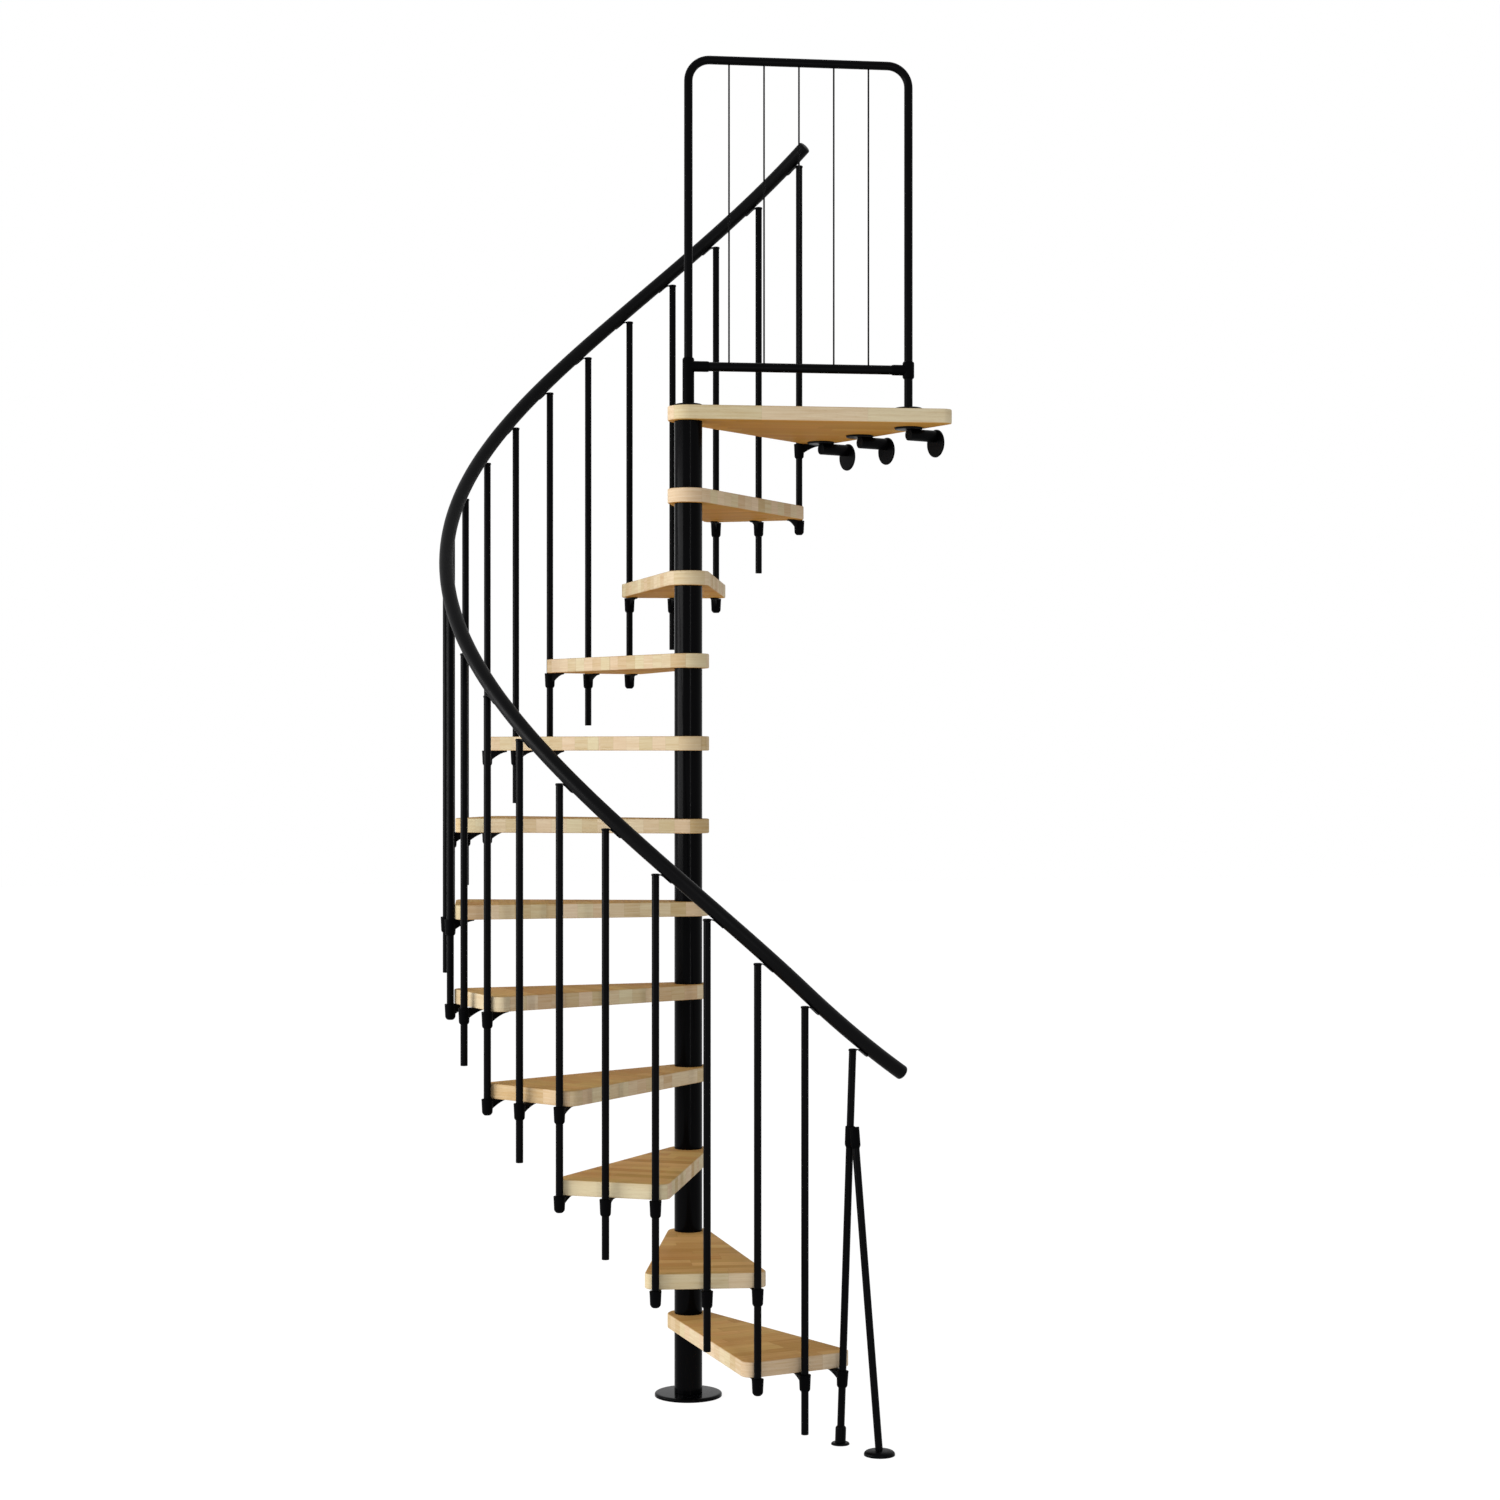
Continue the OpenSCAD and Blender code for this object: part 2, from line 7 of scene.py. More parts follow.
import bpy
import numpy as np
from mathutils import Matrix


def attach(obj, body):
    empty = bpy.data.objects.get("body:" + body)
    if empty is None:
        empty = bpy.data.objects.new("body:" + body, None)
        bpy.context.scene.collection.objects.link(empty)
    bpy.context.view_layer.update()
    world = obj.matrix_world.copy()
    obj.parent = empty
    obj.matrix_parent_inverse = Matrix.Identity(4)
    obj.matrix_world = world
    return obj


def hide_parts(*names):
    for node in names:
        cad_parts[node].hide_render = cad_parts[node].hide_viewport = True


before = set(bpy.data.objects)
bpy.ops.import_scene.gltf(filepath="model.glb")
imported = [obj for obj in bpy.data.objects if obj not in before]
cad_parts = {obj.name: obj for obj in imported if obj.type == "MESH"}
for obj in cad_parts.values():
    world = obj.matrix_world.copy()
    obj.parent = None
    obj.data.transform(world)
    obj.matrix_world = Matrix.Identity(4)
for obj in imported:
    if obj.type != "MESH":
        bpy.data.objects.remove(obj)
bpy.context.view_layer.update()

log = logging.getLogger("spiral_stair")
MM = 0.001
# Angle, in radians, at which the domed end of a pipe stops short of its pole
DOME_END = 1.45
# Bevel, in millimetres, at the foot of a turned plate
FOOT_EASE = 0.4
# Range that nearly all of a noise texture's values lie in
NOISE_SPAN = (0.3, 0.7)
UP = np.array([0.0, 0.0, 1.0])
ACROSS = np.array([1.0, 0.0, 0.0])
DEEP = np.array([0.0, 1.0, 0.0])
Pair = tuple[float, float]
Place = tuple[float, float, float]
Colour = tuple[float, float, float, float]


class Slot(Enum):
    """Finish slots of the record."""

    COLUMN = "column_paint"
    RAIL = "rail_paint"
    STEEL = "plain_steel"
    BOARD = "beech_board"
    HANDRAIL = "handrail_cover"
    BRACKET = "bracket_plastic"


Finishes = dict[Slot, bpy.types.Material]


class SleeveEnd(Enum):
    """Lower end of a bracket's sleeve."""

    THROUGH = "through"
    CLOSED = "closed"


# Surfaces


@dataclass
class Patch:
    """A closed surface: points in millimetres, blocks of face rows, and values kept per point."""

    points: np.ndarray
    faces: list[np.ndarray]
    values: dict[str, np.ndarray] = field(default_factory=dict)

    def outward(self) -> "Patch":
        """Turns the faces round where the volume they enclose comes out negative.

        The volume is a sixth of the sum, over the triangles, of first corner dot (second cross third).

        Returns:
            The patch with its faces pointing outwards.
        """
        volume = 0.0
        for block in self.faces:
            corner = self.points[block]
            for k in range(1, block.shape[1] - 1):
                volume += np.einsum("ij,ij->i", corner[:, 0], np.cross(corner[:, k], corner[:, k + 1])).sum()
        if volume < 0:
            self.faces = [block[:, ::-1] for block in self.faces]
        return self

    def placed(self, origin: Sequence[float], x_axis: np.ndarray = ACROSS, z_axis: np.ndarray = UP) -> "Patch":
        """Carries the patch into another frame: origin plus each coordinate times its unit axis.

        Args:
            origin: Where the patch's own origin goes.
            x_axis: Direction of its X, made square to z_axis.
            z_axis: Direction of its Z.

        Returns:
            The carried patch.
        """
        z = unit(z_axis)
        x = unit(x_axis - (x_axis @ z) * z)
        axes = np.stack([x, np.cross(z, x), z])
        return Patch(np.asarray(origin, float) + self.points @ axes, self.faces, self.values)


def unit(v: np.ndarray) -> np.ndarray:
    """Scales vectors to length one along their last axis."""
    return v / np.linalg.norm(v, axis=-1, keepdims=True)


def polar(radius: Any, degrees: Any, height: Any) -> np.ndarray:
    """Point at radius times (cosine, sine) of the angle, at a height."""
    a = np.radians(degrees)
    return np.stack(np.broadcast_arrays(radius * np.cos(a), radius * np.sin(a), height), axis=-1)


def heading(degrees: float) -> np.ndarray:
    """Level unit vector in a direction."""
    return polar(1.0, degrees, 0.0)


def bundle(patches: Sequence[Patch]) -> Patch:
    """Puts several patches into one, their face numbers moved on by the points before them.

    Args:
        patches: Patches with the same kinds of values.

    Returns:
        One patch.
    """
    starts = np.cumsum([0] + [len(p.points) for p in patches])
    faces = [block + start for p, start in zip(patches, starts) for block in p.faces]
    values = {key: np.concatenate([p.values[key] for p in patches]) for key in patches[0].values}
    return Patch(np.concatenate([p.points for p in patches]), faces, values)


def grid(points: np.ndarray, close_rows: bool = False) -> Patch:
    """Four-sided faces between neighbours of a grid whose columns run round and close.

    Args:
        points: Array of rows by columns by three.
        close_rows: Whether the last row joins the first.

    Returns:
        The surface.
    """
    rows, columns = points.shape[:2]
    i = np.arange(rows if close_rows else rows - 1)[:, None]
    j = np.arange(columns)[None, :]
    i2, j2 = (i + 1) % rows, (j + 1) % columns
    quads = np.stack([i * columns + j, i * columns + j2, i2 * columns + j2, i2 * columns + j], -1)
    return Patch(points.reshape(-1, 3), [quads.reshape(-1, 4)])


def closed_tube(points: np.ndarray, start: np.ndarray | None = None, end: np.ndarray | None = None) -> Patch:
    """A grid of rings whose two ends are closed with fans of triangles.

    Args:
        points: Array of rings by points by three.
        start: Centre of the first fan, or None for the first ring's middle.
        end: Centre of the last fan, or None for the last ring's middle.

    Returns:
        The closed surface.
    """
    rows, columns = points.shape[:2]
    patch = grid(points)
    start = points[0].mean(axis=0) if start is None else start
    end = points[-1].mean(axis=0) if end is None else end
    count = rows * columns
    j = np.arange(columns)
    j2 = (j + 1) % columns
    first = np.stack([np.full(columns, count), j2, j], -1)
    last = np.stack([np.full(columns, count + 1), count - columns + j, count - columns + j2], -1)
    patch.points = np.concatenate([patch.points, start[None], end[None]])
    patch.faces += [first, last]
    return patch.outward()


def turned(profile: Sequence[Pair], sides: int, loop: bool = False) -> Patch:
    """Profile of (radius, height) turned about Z: point is (radius cos a, radius sin a, height).

    Args:
        profile: From axis to axis, its first and last radius nought, or a loop round a bore.
        sides: Points round the axis.
        loop: Whether the profile is a loop.

    Returns:
        The closed surface.
    """
    rz = np.asarray(profile, float)
    rings = rz if loop else rz[1:-1]
    a = np.linspace(0.0, 2 * np.pi, sides, endpoint=False)
    points = np.stack(
        np.broadcast_arrays(rings[:, :1] * np.cos(a), rings[:, :1] * np.sin(a), rings[:, 1:]), axis=-1)
    if loop:
        return grid(points, close_rows=True).outward()
    poles = np.stack([np.zeros(len(rz)), np.zeros(len(rz)), rz[:, 1]], -1)
    return closed_tube(points, poles[0], poles[-1])


def rounded(corner: Pair, before: Pair, after: Pair, steps: int = 4) -> list[Pair]:
    """Soft corner of a profile: the curve (1-u)^2 before + 2u(1-u) corner + u^2 after.

    Args:
        corner: The sharp corner.
        before: Where the curve leaves the first side.
        after: Where it meets the second side.
        steps: Number of chords.

    Returns:
        Points of the curve, ends included.
    """
    u = np.linspace(0.0, 1.0, steps + 1)[:, None]
    curve = (1 - u) ** 2 * np.array(before) + 2 * u * (1 - u) * np.array(corner) + u ** 2 * np.array(after)
    return [tuple(p) for p in curve]


def button(diameter: float, height: float, rim: Pair, sides: int, steps: int = 8, crown: float = 0.0) -> Patch:
    """Round plate with a flat foot whose upper rim curves down over a width and a height.

    Args:
        diameter: Of the plate.
        height: Of its top.
        rim: Width and height of the rim's curve.
        sides: Points round it.
        steps: Chords of the rim's curve.
        crown: Rise of the middle over the rim.

    Returns:
        The plate, its foot at nought.
    """
    r, e = diameter / 2, FOOT_EASE
    edge = rounded((r, height), (r, height - rim[1]), (r - rim[0], height), steps)
    return turned([(0, 0), (r - e, 0), (r, e), *edge, (0, height + crown)], sides)


def bored(bore: float, outside: Sequence[Pair], sides: int) -> Patch:
    """Sleeve: an outer profile of (radius, height) over a straight bore, turned about Z."""
    return turned([(bore, outside[0][1]), *outside, (bore, outside[-1][1])], sides, loop=True)


def rod(length: float, diameter: float, ease: float, sides: int = 20) -> Patch:
    """Round bar along Z from nought, both ends eased by a small curve.

    Args:
        length: Of the bar.
        diameter: Of the bar.
        ease: Size of the curve at an end.
        sides: Points round it.

    Returns:
        The bar.
    """
    r = diameter / 2
    low = rounded((r, 0), (r - ease, 0), (r, ease))
    high = rounded((r, length), (r, length - ease), (r - ease, length))
    return turned([(0, 0), *low, *high, (0, length)], sides)


def pipe_frames(path: np.ndarray, level: bool = True) -> tuple[np.ndarray, np.ndarray, np.ndarray]:
    """Directions along, across and upward at each point of a path.

    Along is the path's own gradient; across is along cross Z, or +Y; upward is across cross along.

    Args:
        path: Points of the path.
        level: Whether across is kept level, in place of +Y.

    Returns:
        Three arrays of unit vectors.
    """
    t = unit(np.gradient(path, axis=0))
    side = unit(np.cross(t, UP)) if level else np.broadcast_to(DEEP, t.shape)
    return t, side, np.cross(side, t)


def pipe(path: np.ndarray, diameter: float, sides: int, cap: float, level: bool = True) -> Patch:
    """Circle carried along a path, its ends closed by domes of a given length.

    A ring is path + r (cos a upward + sin a across). On a dome r falls as the root of the cosine
    while the ring moves out by the sine.

    Args:
        path: Points of the centre line.
        diameter: Of the pipe.
        sides: Points round it.
        cap: Length of a dome.
        level: Whether the across direction is kept level.

    Returns:
        The closed surface.
    """
    t, side, up = pipe_frames(path, level)
    b = np.linspace(0.0, DOME_END, 7)[1:]
    out, shrink = cap * np.sin(b), np.sqrt(np.cos(b))
    centre = np.concatenate([path[0] - out[::-1, None] * t[0], path, path[-1] + out[:, None] * t[-1]])
    radius = diameter / 2 * np.concatenate([shrink[::-1], np.ones(len(path)), shrink])
    pad = ((len(b), len(b)), (0, 0))
    side, up = np.pad(side, pad, mode="edge"), np.pad(up, pad, mode="edge")
    a = np.linspace(0.0, 2 * np.pi, sides, endpoint=False)[None, :, None]
    rings = centre[:, None] + radius[:, None, None] * (np.cos(a) * up[:, None] + np.sin(a) * side[:, None])
    return closed_tube(rings)


def corner_arc(a: np.ndarray, p: np.ndarray, b: np.ndarray, r: float, steps: int) -> np.ndarray:
    """Arc of radius r that rounds the corner p between its neighbours a and b.

    Its centre lies on the bisector, r over the sine of half the angle away from the corner.

    Args:
        a: Neighbour before the corner.
        p: The corner.
        b: Neighbour after it.
        r: Radius.
        steps: Number of chords.

    Returns:
        Points of the arc.
    """
    u, v = unit(a - p), unit(b - p)
    half = np.arccos(np.clip(u @ v, -1, 1)) / 2
    centre = p + unit(u + v) * r / np.sin(half)
    first, last = p + u * r / np.tan(half) - centre, p + v * r / np.tan(half) - centre
    start = np.arctan2(first[1], first[0])
    turn = np.arctan2(last[1], last[0]) - start
    turn -= 2 * np.pi * np.round(turn / (2 * np.pi))
    angle = start + turn * np.linspace(0.0, 1.0, steps + 1)
    return centre + r * np.stack([np.cos(angle), np.sin(angle)], -1)


# Finishes


class Graph:
    """A node graph of a material or the world, grown one node at a time."""

    def __init__(self, tree: bpy.types.NodeTree) -> None:
        """Takes up the graph as it stands."""
        self.tree = tree

    def node(self, kind: str, inputs: dict[Any, Any] | None = None, **settings: Any) -> bpy.types.Node:
        """Adds a node, sets its options, and joins or sets its inputs.

        Args:
            kind: The node's type.
            inputs: Socket name or number to another socket or a value.
            **settings: The node's own options.

        Returns:
            The node.
        """
        made = self.tree.nodes.new(kind)
        for key, value in settings.items():
            setattr(made, key, value)
        for key, value in (inputs or {}).items():
            self.feed(made.inputs[key], value)
        return made

    def feed(self, socket: bpy.types.NodeSocket, value: Any) -> None:
        """Joins a socket to another one, or sets its value.

        Args:
            socket: The input.
            value: Another socket, or a plain value.
        """
        if isinstance(value, bpy.types.NodeSocket):
            self.tree.links.new(value, socket)
        else:
            socket.default_value = value

    def math(self, operation: str, a: Any, b: Any = 0.0) -> bpy.types.NodeSocket:
        """One arithmetic step on two numbers."""
        return self.node("ShaderNodeMath", {0: a, 1: b}, operation=operation).outputs[0]

    def mix(self, share: Any, a: Any, b: Any, blend: str = "MIX") -> bpy.types.NodeSocket:
        """Blends colour b over colour a by a share."""
        made = self.node("ShaderNodeMix", {0: share, 6: a, 7: b}, data_type="RGBA", blend_type=blend)
        return made.outputs[2]

    def span(self, value: Any, low: float, high: float, to_low: float, to_high: float) -> bpy.types.NodeSocket:
        """Carries a number from one span to another, held at the ends."""
        return self.node("ShaderNodeMapRange", {0: value, 1: low, 2: high, 3: to_low, 4: to_high}).outputs[0]

    def noise(self, where: Any, scale: float, detail: float = 3.0, rough: float = 0.55) -> bpy.types.NodeSocket:
        """Cloudy noise at a place, so many spots to the metre."""
        inputs = {"Vector": where, "Scale": scale, "Detail": detail, "Roughness": rough}
        return self.node("ShaderNodeTexNoise", inputs).outputs[0]

    def spread(self, noise: Any, low: float, high: float) -> bpy.types.NodeSocket:
        """Carries a noise's usual range to another span."""
        return self.span(noise, *NOISE_SPAN, low, high)

    def stretch(self, where: Any, scale: Place) -> bpy.types.NodeSocket:
        """Scales a place along its three axes."""
        return self.node("ShaderNodeMapping", {"Vector": where, "Scale": scale}).outputs[0]


class Shader(Graph):
    """A material's node graph with its surface shader."""

    def __init__(self, name: str) -> None:
        """Starts a material that has its surface shader and nothing else.

        Args:
            name: Of the material.
        """
        self.material = bpy.data.materials.new(name)
        self.material.use_nodes = True
        super().__init__(self.material.node_tree)
        self.surface = self.tree.nodes["Principled BSDF"]

    def bump(self, height: Any, strength: float, distance: float) -> None:
        """Gives the surface a relief of a height in metres."""
        made = self.node("ShaderNodeBump", {"Height": height, "Strength": strength, "Distance": distance})
        self.tree.links.new(made.outputs[0], self.surface.inputs["Normal"])


@dataclass(frozen=True)
class CoatFinish:
    """Black coat on tube or moulding: cloudy tone, fine orange-peel and a satin or dull gloss."""

    name: str
    dark: Colour = (0.0006, 0.0006, 0.0008, 1)
    light: Colour = (0.0018, 0.0018, 0.0023, 1)
    gloss: Pair = (0.32, 0.42)
    specular: float = 0.035
    peel: float = 900.0
    relief: float = 0.00002
    clouds: float = 7.0
    smudges: float = 45.0
    relief_share: float = 0.5

    def material(self) -> bpy.types.Material:
        """Noise mixes the two tones and the gloss; a finer noise lifts the surface.

        Returns:
            The material.
        """
        s = Shader(self.name)
        where = s.node("ShaderNodeTexCoord").outputs["Object"]
        cloud = s.noise(where, self.clouds, 4.0)
        fine = s.noise(where, self.peel, 2.0)
        s.feed(s.surface.inputs["Base Color"], s.mix(cloud, self.dark, self.light))
        s.feed(s.surface.inputs["Roughness"], s.spread(s.noise(where, self.smudges), *self.gloss))
        s.surface.inputs["Specular IOR Level"].default_value = self.specular
        s.bump(fine, self.relief_share, self.relief)
        return s.material


@dataclass(frozen=True)
class SteelFinish:
    """Plain drawn steel rod: grey with fine lines along it."""

    name: str
    dark: Colour = (0.42, 0.43, 0.45, 1)
    light: Colour = (0.62, 0.63, 0.65, 1)
    gloss: Pair = (0.28, 0.42)
    drawn: Place = (900.0, 900.0, 4.0)

    def material(self) -> bpy.types.Material:
        """Noise drawn out along Z mixes two greys and the gloss.

        Returns:
            The material.
        """
        s = Shader(self.name)
        where = s.node("ShaderNodeTexCoord").outputs["Object"]
        lines = s.noise(s.stretch(where, self.drawn), 1.0)
        s.feed(s.surface.inputs["Base Color"], s.mix(lines, self.dark, self.light))
        s.feed(s.surface.inputs["Roughness"], s.spread(lines, *self.gloss))
        s.surface.inputs["Metallic"].default_value = 1.0
        return s.material


@dataclass(frozen=True)
class WoodFinish:
    """Lacquered boards glued up from staves, each stave made of shorter lengths end to end.

    The boards carry their own place in metres as the attribute grain: X across the staves, Y along
    them, Z up. The attribute edge is one on the sides, whose paler colours are partly side grain and
    partly painted sheen; under is one on the underside, whose darker, more orange colours are painted shade.
    """

    name: str
    stave_w: float = 0.043
    length: float = 0.3
    top_dark: Colour = (0.318, 0.150, 0.034, 1)
    top_light: Colour = (0.610, 0.400, 0.160, 1)
    # Side colours: paler than the tops, partly the staves' side and end grain and partly painted sheen
    side_grain_sheen_dark: Colour = (0.445, 0.290, 0.135, 1)
    side_grain_sheen_light: Colour = (0.685, 0.585, 0.425, 1)
    # Underside colours: painted shade, darker and more orange than the tops
    under_shade_dark: Colour = (0.380, 0.158, 0.024, 1)
    under_shade_light: Colour = (0.560, 0.290, 0.062, 1)
    pore: Colour = (0.2, 0.1, 0.04, 1)
    glue: Colour = (0.16, 0.075, 0.025, 1)
    glue_w: float = 0.0007
    streaks: Place = (150.0, 5.0, 150.0)
    pores: Place = (900.0, 70.0, 900.0)
    sides: Place = (9.0, 9.0, 230.0)
    grain_rough: float = 0.6
    stagger: float = 7.0
    tone_span: Pair = (0.14, 0.58)
    streak_span: Pair = (0.0, 0.38)
    side_power: float = 0.6
    side_span: Pair = (-0.05, 0.6)
    side_streak: Pair = (0.0, 0.4)
    green: Colour = (0.95, 1.0, 0.9, 1)
    rosy: Colour = (1.04, 0.98, 0.98, 1)
    tint: float = 0.8
    pore_from: Pair = (0.62, 0.72)
    pore_share: float = 0.25
    glue_share: Pair = (0.4, 0.2)
    streak_lift: float = 0.4
    relief: float = 0.0002
    relief_share: float = 0.25
    gloss: Pair = (0.56, 0.68)
    specular: float = 0.02

    def material(self) -> bpy.types.Material:
        """Each length of stave draws its tone from its row and place; streaks and pores run along Y.

        Returns:
            The material.
        """
        s = Shader(self.name)
        where = s.node("ShaderNodeAttribute", attribute_name="grain").outputs["Vector"]
        split = s.node("ShaderNodeSeparateXYZ", {0: where})
        x, y = split.outputs["X"], split.outputs["Y"]
        row_at = s.math("DIVIDE", x, self.stave_w)
        row = s.math("FLOOR", row_at)
        row_seed = s.node("ShaderNodeTexWhiteNoise", {"W": row}, noise_dimensions="1D").outputs["Value"]
        run_at = s.math("ADD", s.math("DIVIDE", y, self.length), s.math("MULTIPLY", row_seed, self.stagger))
        run = s.math("FLOOR", run_at)
        cell = s.node("ShaderNodeCombineXYZ", {0: row, 1: run}).outputs[0]
        seed = s.node("ShaderNodeTexWhiteNoise", {"Vector": cell}, noise_dimensions="2D")
        chosen = s.node("ShaderNodeSeparateColor", {0: seed.outputs["Color"]})
        shifted = s.node("ShaderNodeVectorMath", {0: where, 1: seed.outputs["Color"]}, operation="ADD").outputs[0]

        streak = s.noise(s.stretch(shifted, self.streaks), 1.0, 5.0, self.grain_rough)
        pores = s.noise(s.stretch(shifted, self.pores), 1.0, 2.0, self.grain_rough)
        side = s.noise(s.stretch(shifted, self.sides), 1.0, 4.0, self.grain_rough)
        stave_tone = s.span(chosen.outputs[0], 0.0, 1.0, *self.tone_span)
        tone = s.math("ADD", stave_tone, s.spread(streak, *self.streak_span))
        pale = s.span(s.math("POWER", chosen.outputs[0], self.side_power), 0.0, 1.0, *self.side_span)
        side_tone = s.math("ADD", pale, s.spread(side, *self.side_streak))

        edge = s.node("ShaderNodeAttribute", attribute_name="edge").outputs["Fac"]
        under = s.node("ShaderNodeAttribute", attribute_name="under").outputs["Fac"]
        colour = s.mix(tone, self.top_dark, self.top_light)
        # Painted shade: the underside takes darker, more orange colours
        colour = s.mix(under, colour, s.mix(tone, self.under_shade_dark, self.under_shade_light))
        # The sides take paler colours, partly side grain and partly painted sheen
        colour = s.mix(edge, colour, s.mix(side_tone, self.side_grain_sheen_dark, self.side_grain_sheen_light))
        warm = s.mix(chosen.outputs[1], self.green, self.rosy)
        colour = s.mix(self.tint, colour, warm, "MULTIPLY")
        colour = s.mix(s.span(pores, *self.pore_from, 0.0, self.pore_share), colour, self.pore)

        gap_row = s.math("PINGPONG", row_at, 0.5)
        gap_run = s.math("PINGPONG", run_at, 0.5)
        near = s.math("MINIMUM", s.math("MULTIPLY", gap_row, self.stave_w), s.math("MULTIPLY", gap_run, self.length))
        joint = s.span(near, 0.0, self.glue_w, 1.0, 0.0)
        colour = s.mix(s.math("MULTIPLY", joint, s.span(edge, 0.0, 1.0, *self.glue_share)), colour, self.glue)
        s.feed(s.surface.inputs["Base Color"], colour)
        s.feed(s.surface.inputs["Roughness"], s.spread(streak, *self.gloss))
        s.surface.inputs["Specular IOR Level"].default_value = self.specular
        lift = s.math("SUBTRACT", s.math("MULTIPLY", streak, self.streak_lift), joint)
        s.bump(lift, self.relief_share, self.relief)
        return s.material


def finishes_by_slot() -> Finishes:
    """Makes all the finishes, once each.

    Returns:
        The material of each slot.
    """
    kinds = {
        Slot.COLUMN: CoatFinish("satin_column_coat", gloss=(0.14, 0.19), specular=0.03, relief=0.000005),
        Slot.RAIL: CoatFinish("satin_rail_coat"),
        Slot.STEEL: SteelFinish("drawn_steel"),
        Slot.BOARD: WoodFinish("lacquered_staves"),
        Slot.HANDRAIL: CoatFinish("handrail_sleeve", gloss=(0.38, 0.46), specular=0.065, peel=500.0),
        Slot.BRACKET: CoatFinish("moulded_bracket", gloss=(0.5, 0.6), specular=0.02, peel=1300.0, relief=0.00003)}
    return {slot: kind.material() for slot, kind in kinds.items()}


# The stair


@dataclass(frozen=True)
class Layout:
    """Heights, directions and lines that the sub-assemblies share, in millimetres and degrees."""

    riser: float = 230.0
    treads: int = 11
    tread_turn: float = 22.5
    first_at: float = -70.0
    board_t: float = 40.0
    inner_r: float = 58.0
    ring_r: float = 672.0
    baluster_d: float = 19.5
    baluster_len: float = 1100.0
    first_top: float = 1020.0
    handrail_lift: float = 43.6
    handrail_head: float = 16.0
    handrail_foot: float = 290.0
    foot_slope: float = 34.0
    newel_reach: float = 142.0
    landing_len: float = 760.0
    landing_skew: float = 24.5

    @property
    def landing_top(self) -> float:
        """Height of the landing's upper face."""
        return self.riser * (self.treads + 1)

    @property
    def slope(self) -> float:
        """Slope of the handrail over the balusters, as rise over run."""
        return self.riser / (self.ring_r * math.radians(self.tread_turn))

    @property
    def foot_ease(self) -> float:
        """How fast the slope eases along the handrail's straight foot."""
        return (self.slope - math.tan(math.radians(self.foot_slope))) / (2 * self.handrail_foot)

    def tread_at(self, n: int) -> float:
        """Direction of tread n."""
        return self.first_at - self.tread_turn * (n - 1)

    def board_under(self, n: int) -> float:
        """Height of board n's underside."""
        return self.riser * n - self.board_t

    def baluster_at(self, k: Any) -> Any:
        """Direction of baluster k, counted from the newel."""
        return self.first_at + self.tread_turn / 2 * (1 - k)

    def baluster_top(self, k: Any) -> Any:
        """Height of baluster k's upper end."""
        return self.first_top + self.riser / 2 * k

    def foot_line(self, s: Any) -> np.ndarray:
        """Handrail's straight foot: level distance s out, falling by slope s less ease s squared.

        Args:
            s: Level distance from the first baluster.

        Returns:
            Points of the centre line.
        """
        a = math.radians(self.baluster_at(1))
        s = np.asarray(s, float)
        start = polar(self.ring_r, self.baluster_at(1), self.baluster_top(1) + self.handrail_lift)
        level = np.array([-math.sin(a), math.cos(a), 0.0])
        return start + s[..., None] * level - (self.slope * s - self.foot_ease * s * s)[..., None] * UP


@dataclass
class Part:
    """A sub-assembly of the stair: what all of them share, and how their pieces are made."""

    layout: Layout
    finishes: Finishes

    def piece(self, name: str, patches: Sequence[Patch], slot: Slot, nodes: Sequence[str],
              sharp: float = 35.0) -> None:
        """Makes patches one piece of the stair, in metres, riding on the root body.

        Args:
            name: Name of the piece.
            patches: Its surfaces, in millimetres.
            slot: The record's slot that it belongs to, which sets its material.
            nodes: The solids that it stands for.
            sharp: Angle in degrees past which an edge is kept sharp.
        """
        patch = bundle(patches)
        mesh = bpy.data.meshes.new(name)
        mesh.vertices.add(len(patch.points))
        mesh.vertices.foreach_set("co", (patch.points * MM).astype(np.float32).ravel())
        sizes = np.concatenate([np.full(len(block), block.shape[1]) for block in patch.faces])
        mesh.loops.add(int(sizes.sum()))
        mesh.loops.foreach_set("vertex_index", np.concatenate([b.ravel() for b in patch.faces]).astype(np.int32))
        mesh.polygons.add(len(sizes))
        mesh.polygons.foreach_set("loop_start", (np.cumsum(sizes) - sizes).astype(np.int32))
        mesh.polygons.foreach_set("use_smooth", np.ones(len(sizes), bool))
        for key, value in patch.values.items():
            kind, item = ("FLOAT_VECTOR", "vector") if value.ndim == 2 else ("FLOAT", "value")
            mesh.attributes.new(key, kind, "POINT").data.foreach_set(item, value.astype(np.float32).ravel())
        mesh.update(calc_edges=True)
        mesh.validate()
        mesh.set_sharp_from_angle(angle=math.radians(sharp))
        mesh.materials.append(self.finishes[slot])
        piece = bpy.data.objects.new(name, mesh)
        bpy.context.scene.collection.objects.link(piece)
        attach(piece, "root")
        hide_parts(*nodes)
        log.info("%s: %d faces, stands for %d solids' nodes", name, len(sizes), len(nodes))


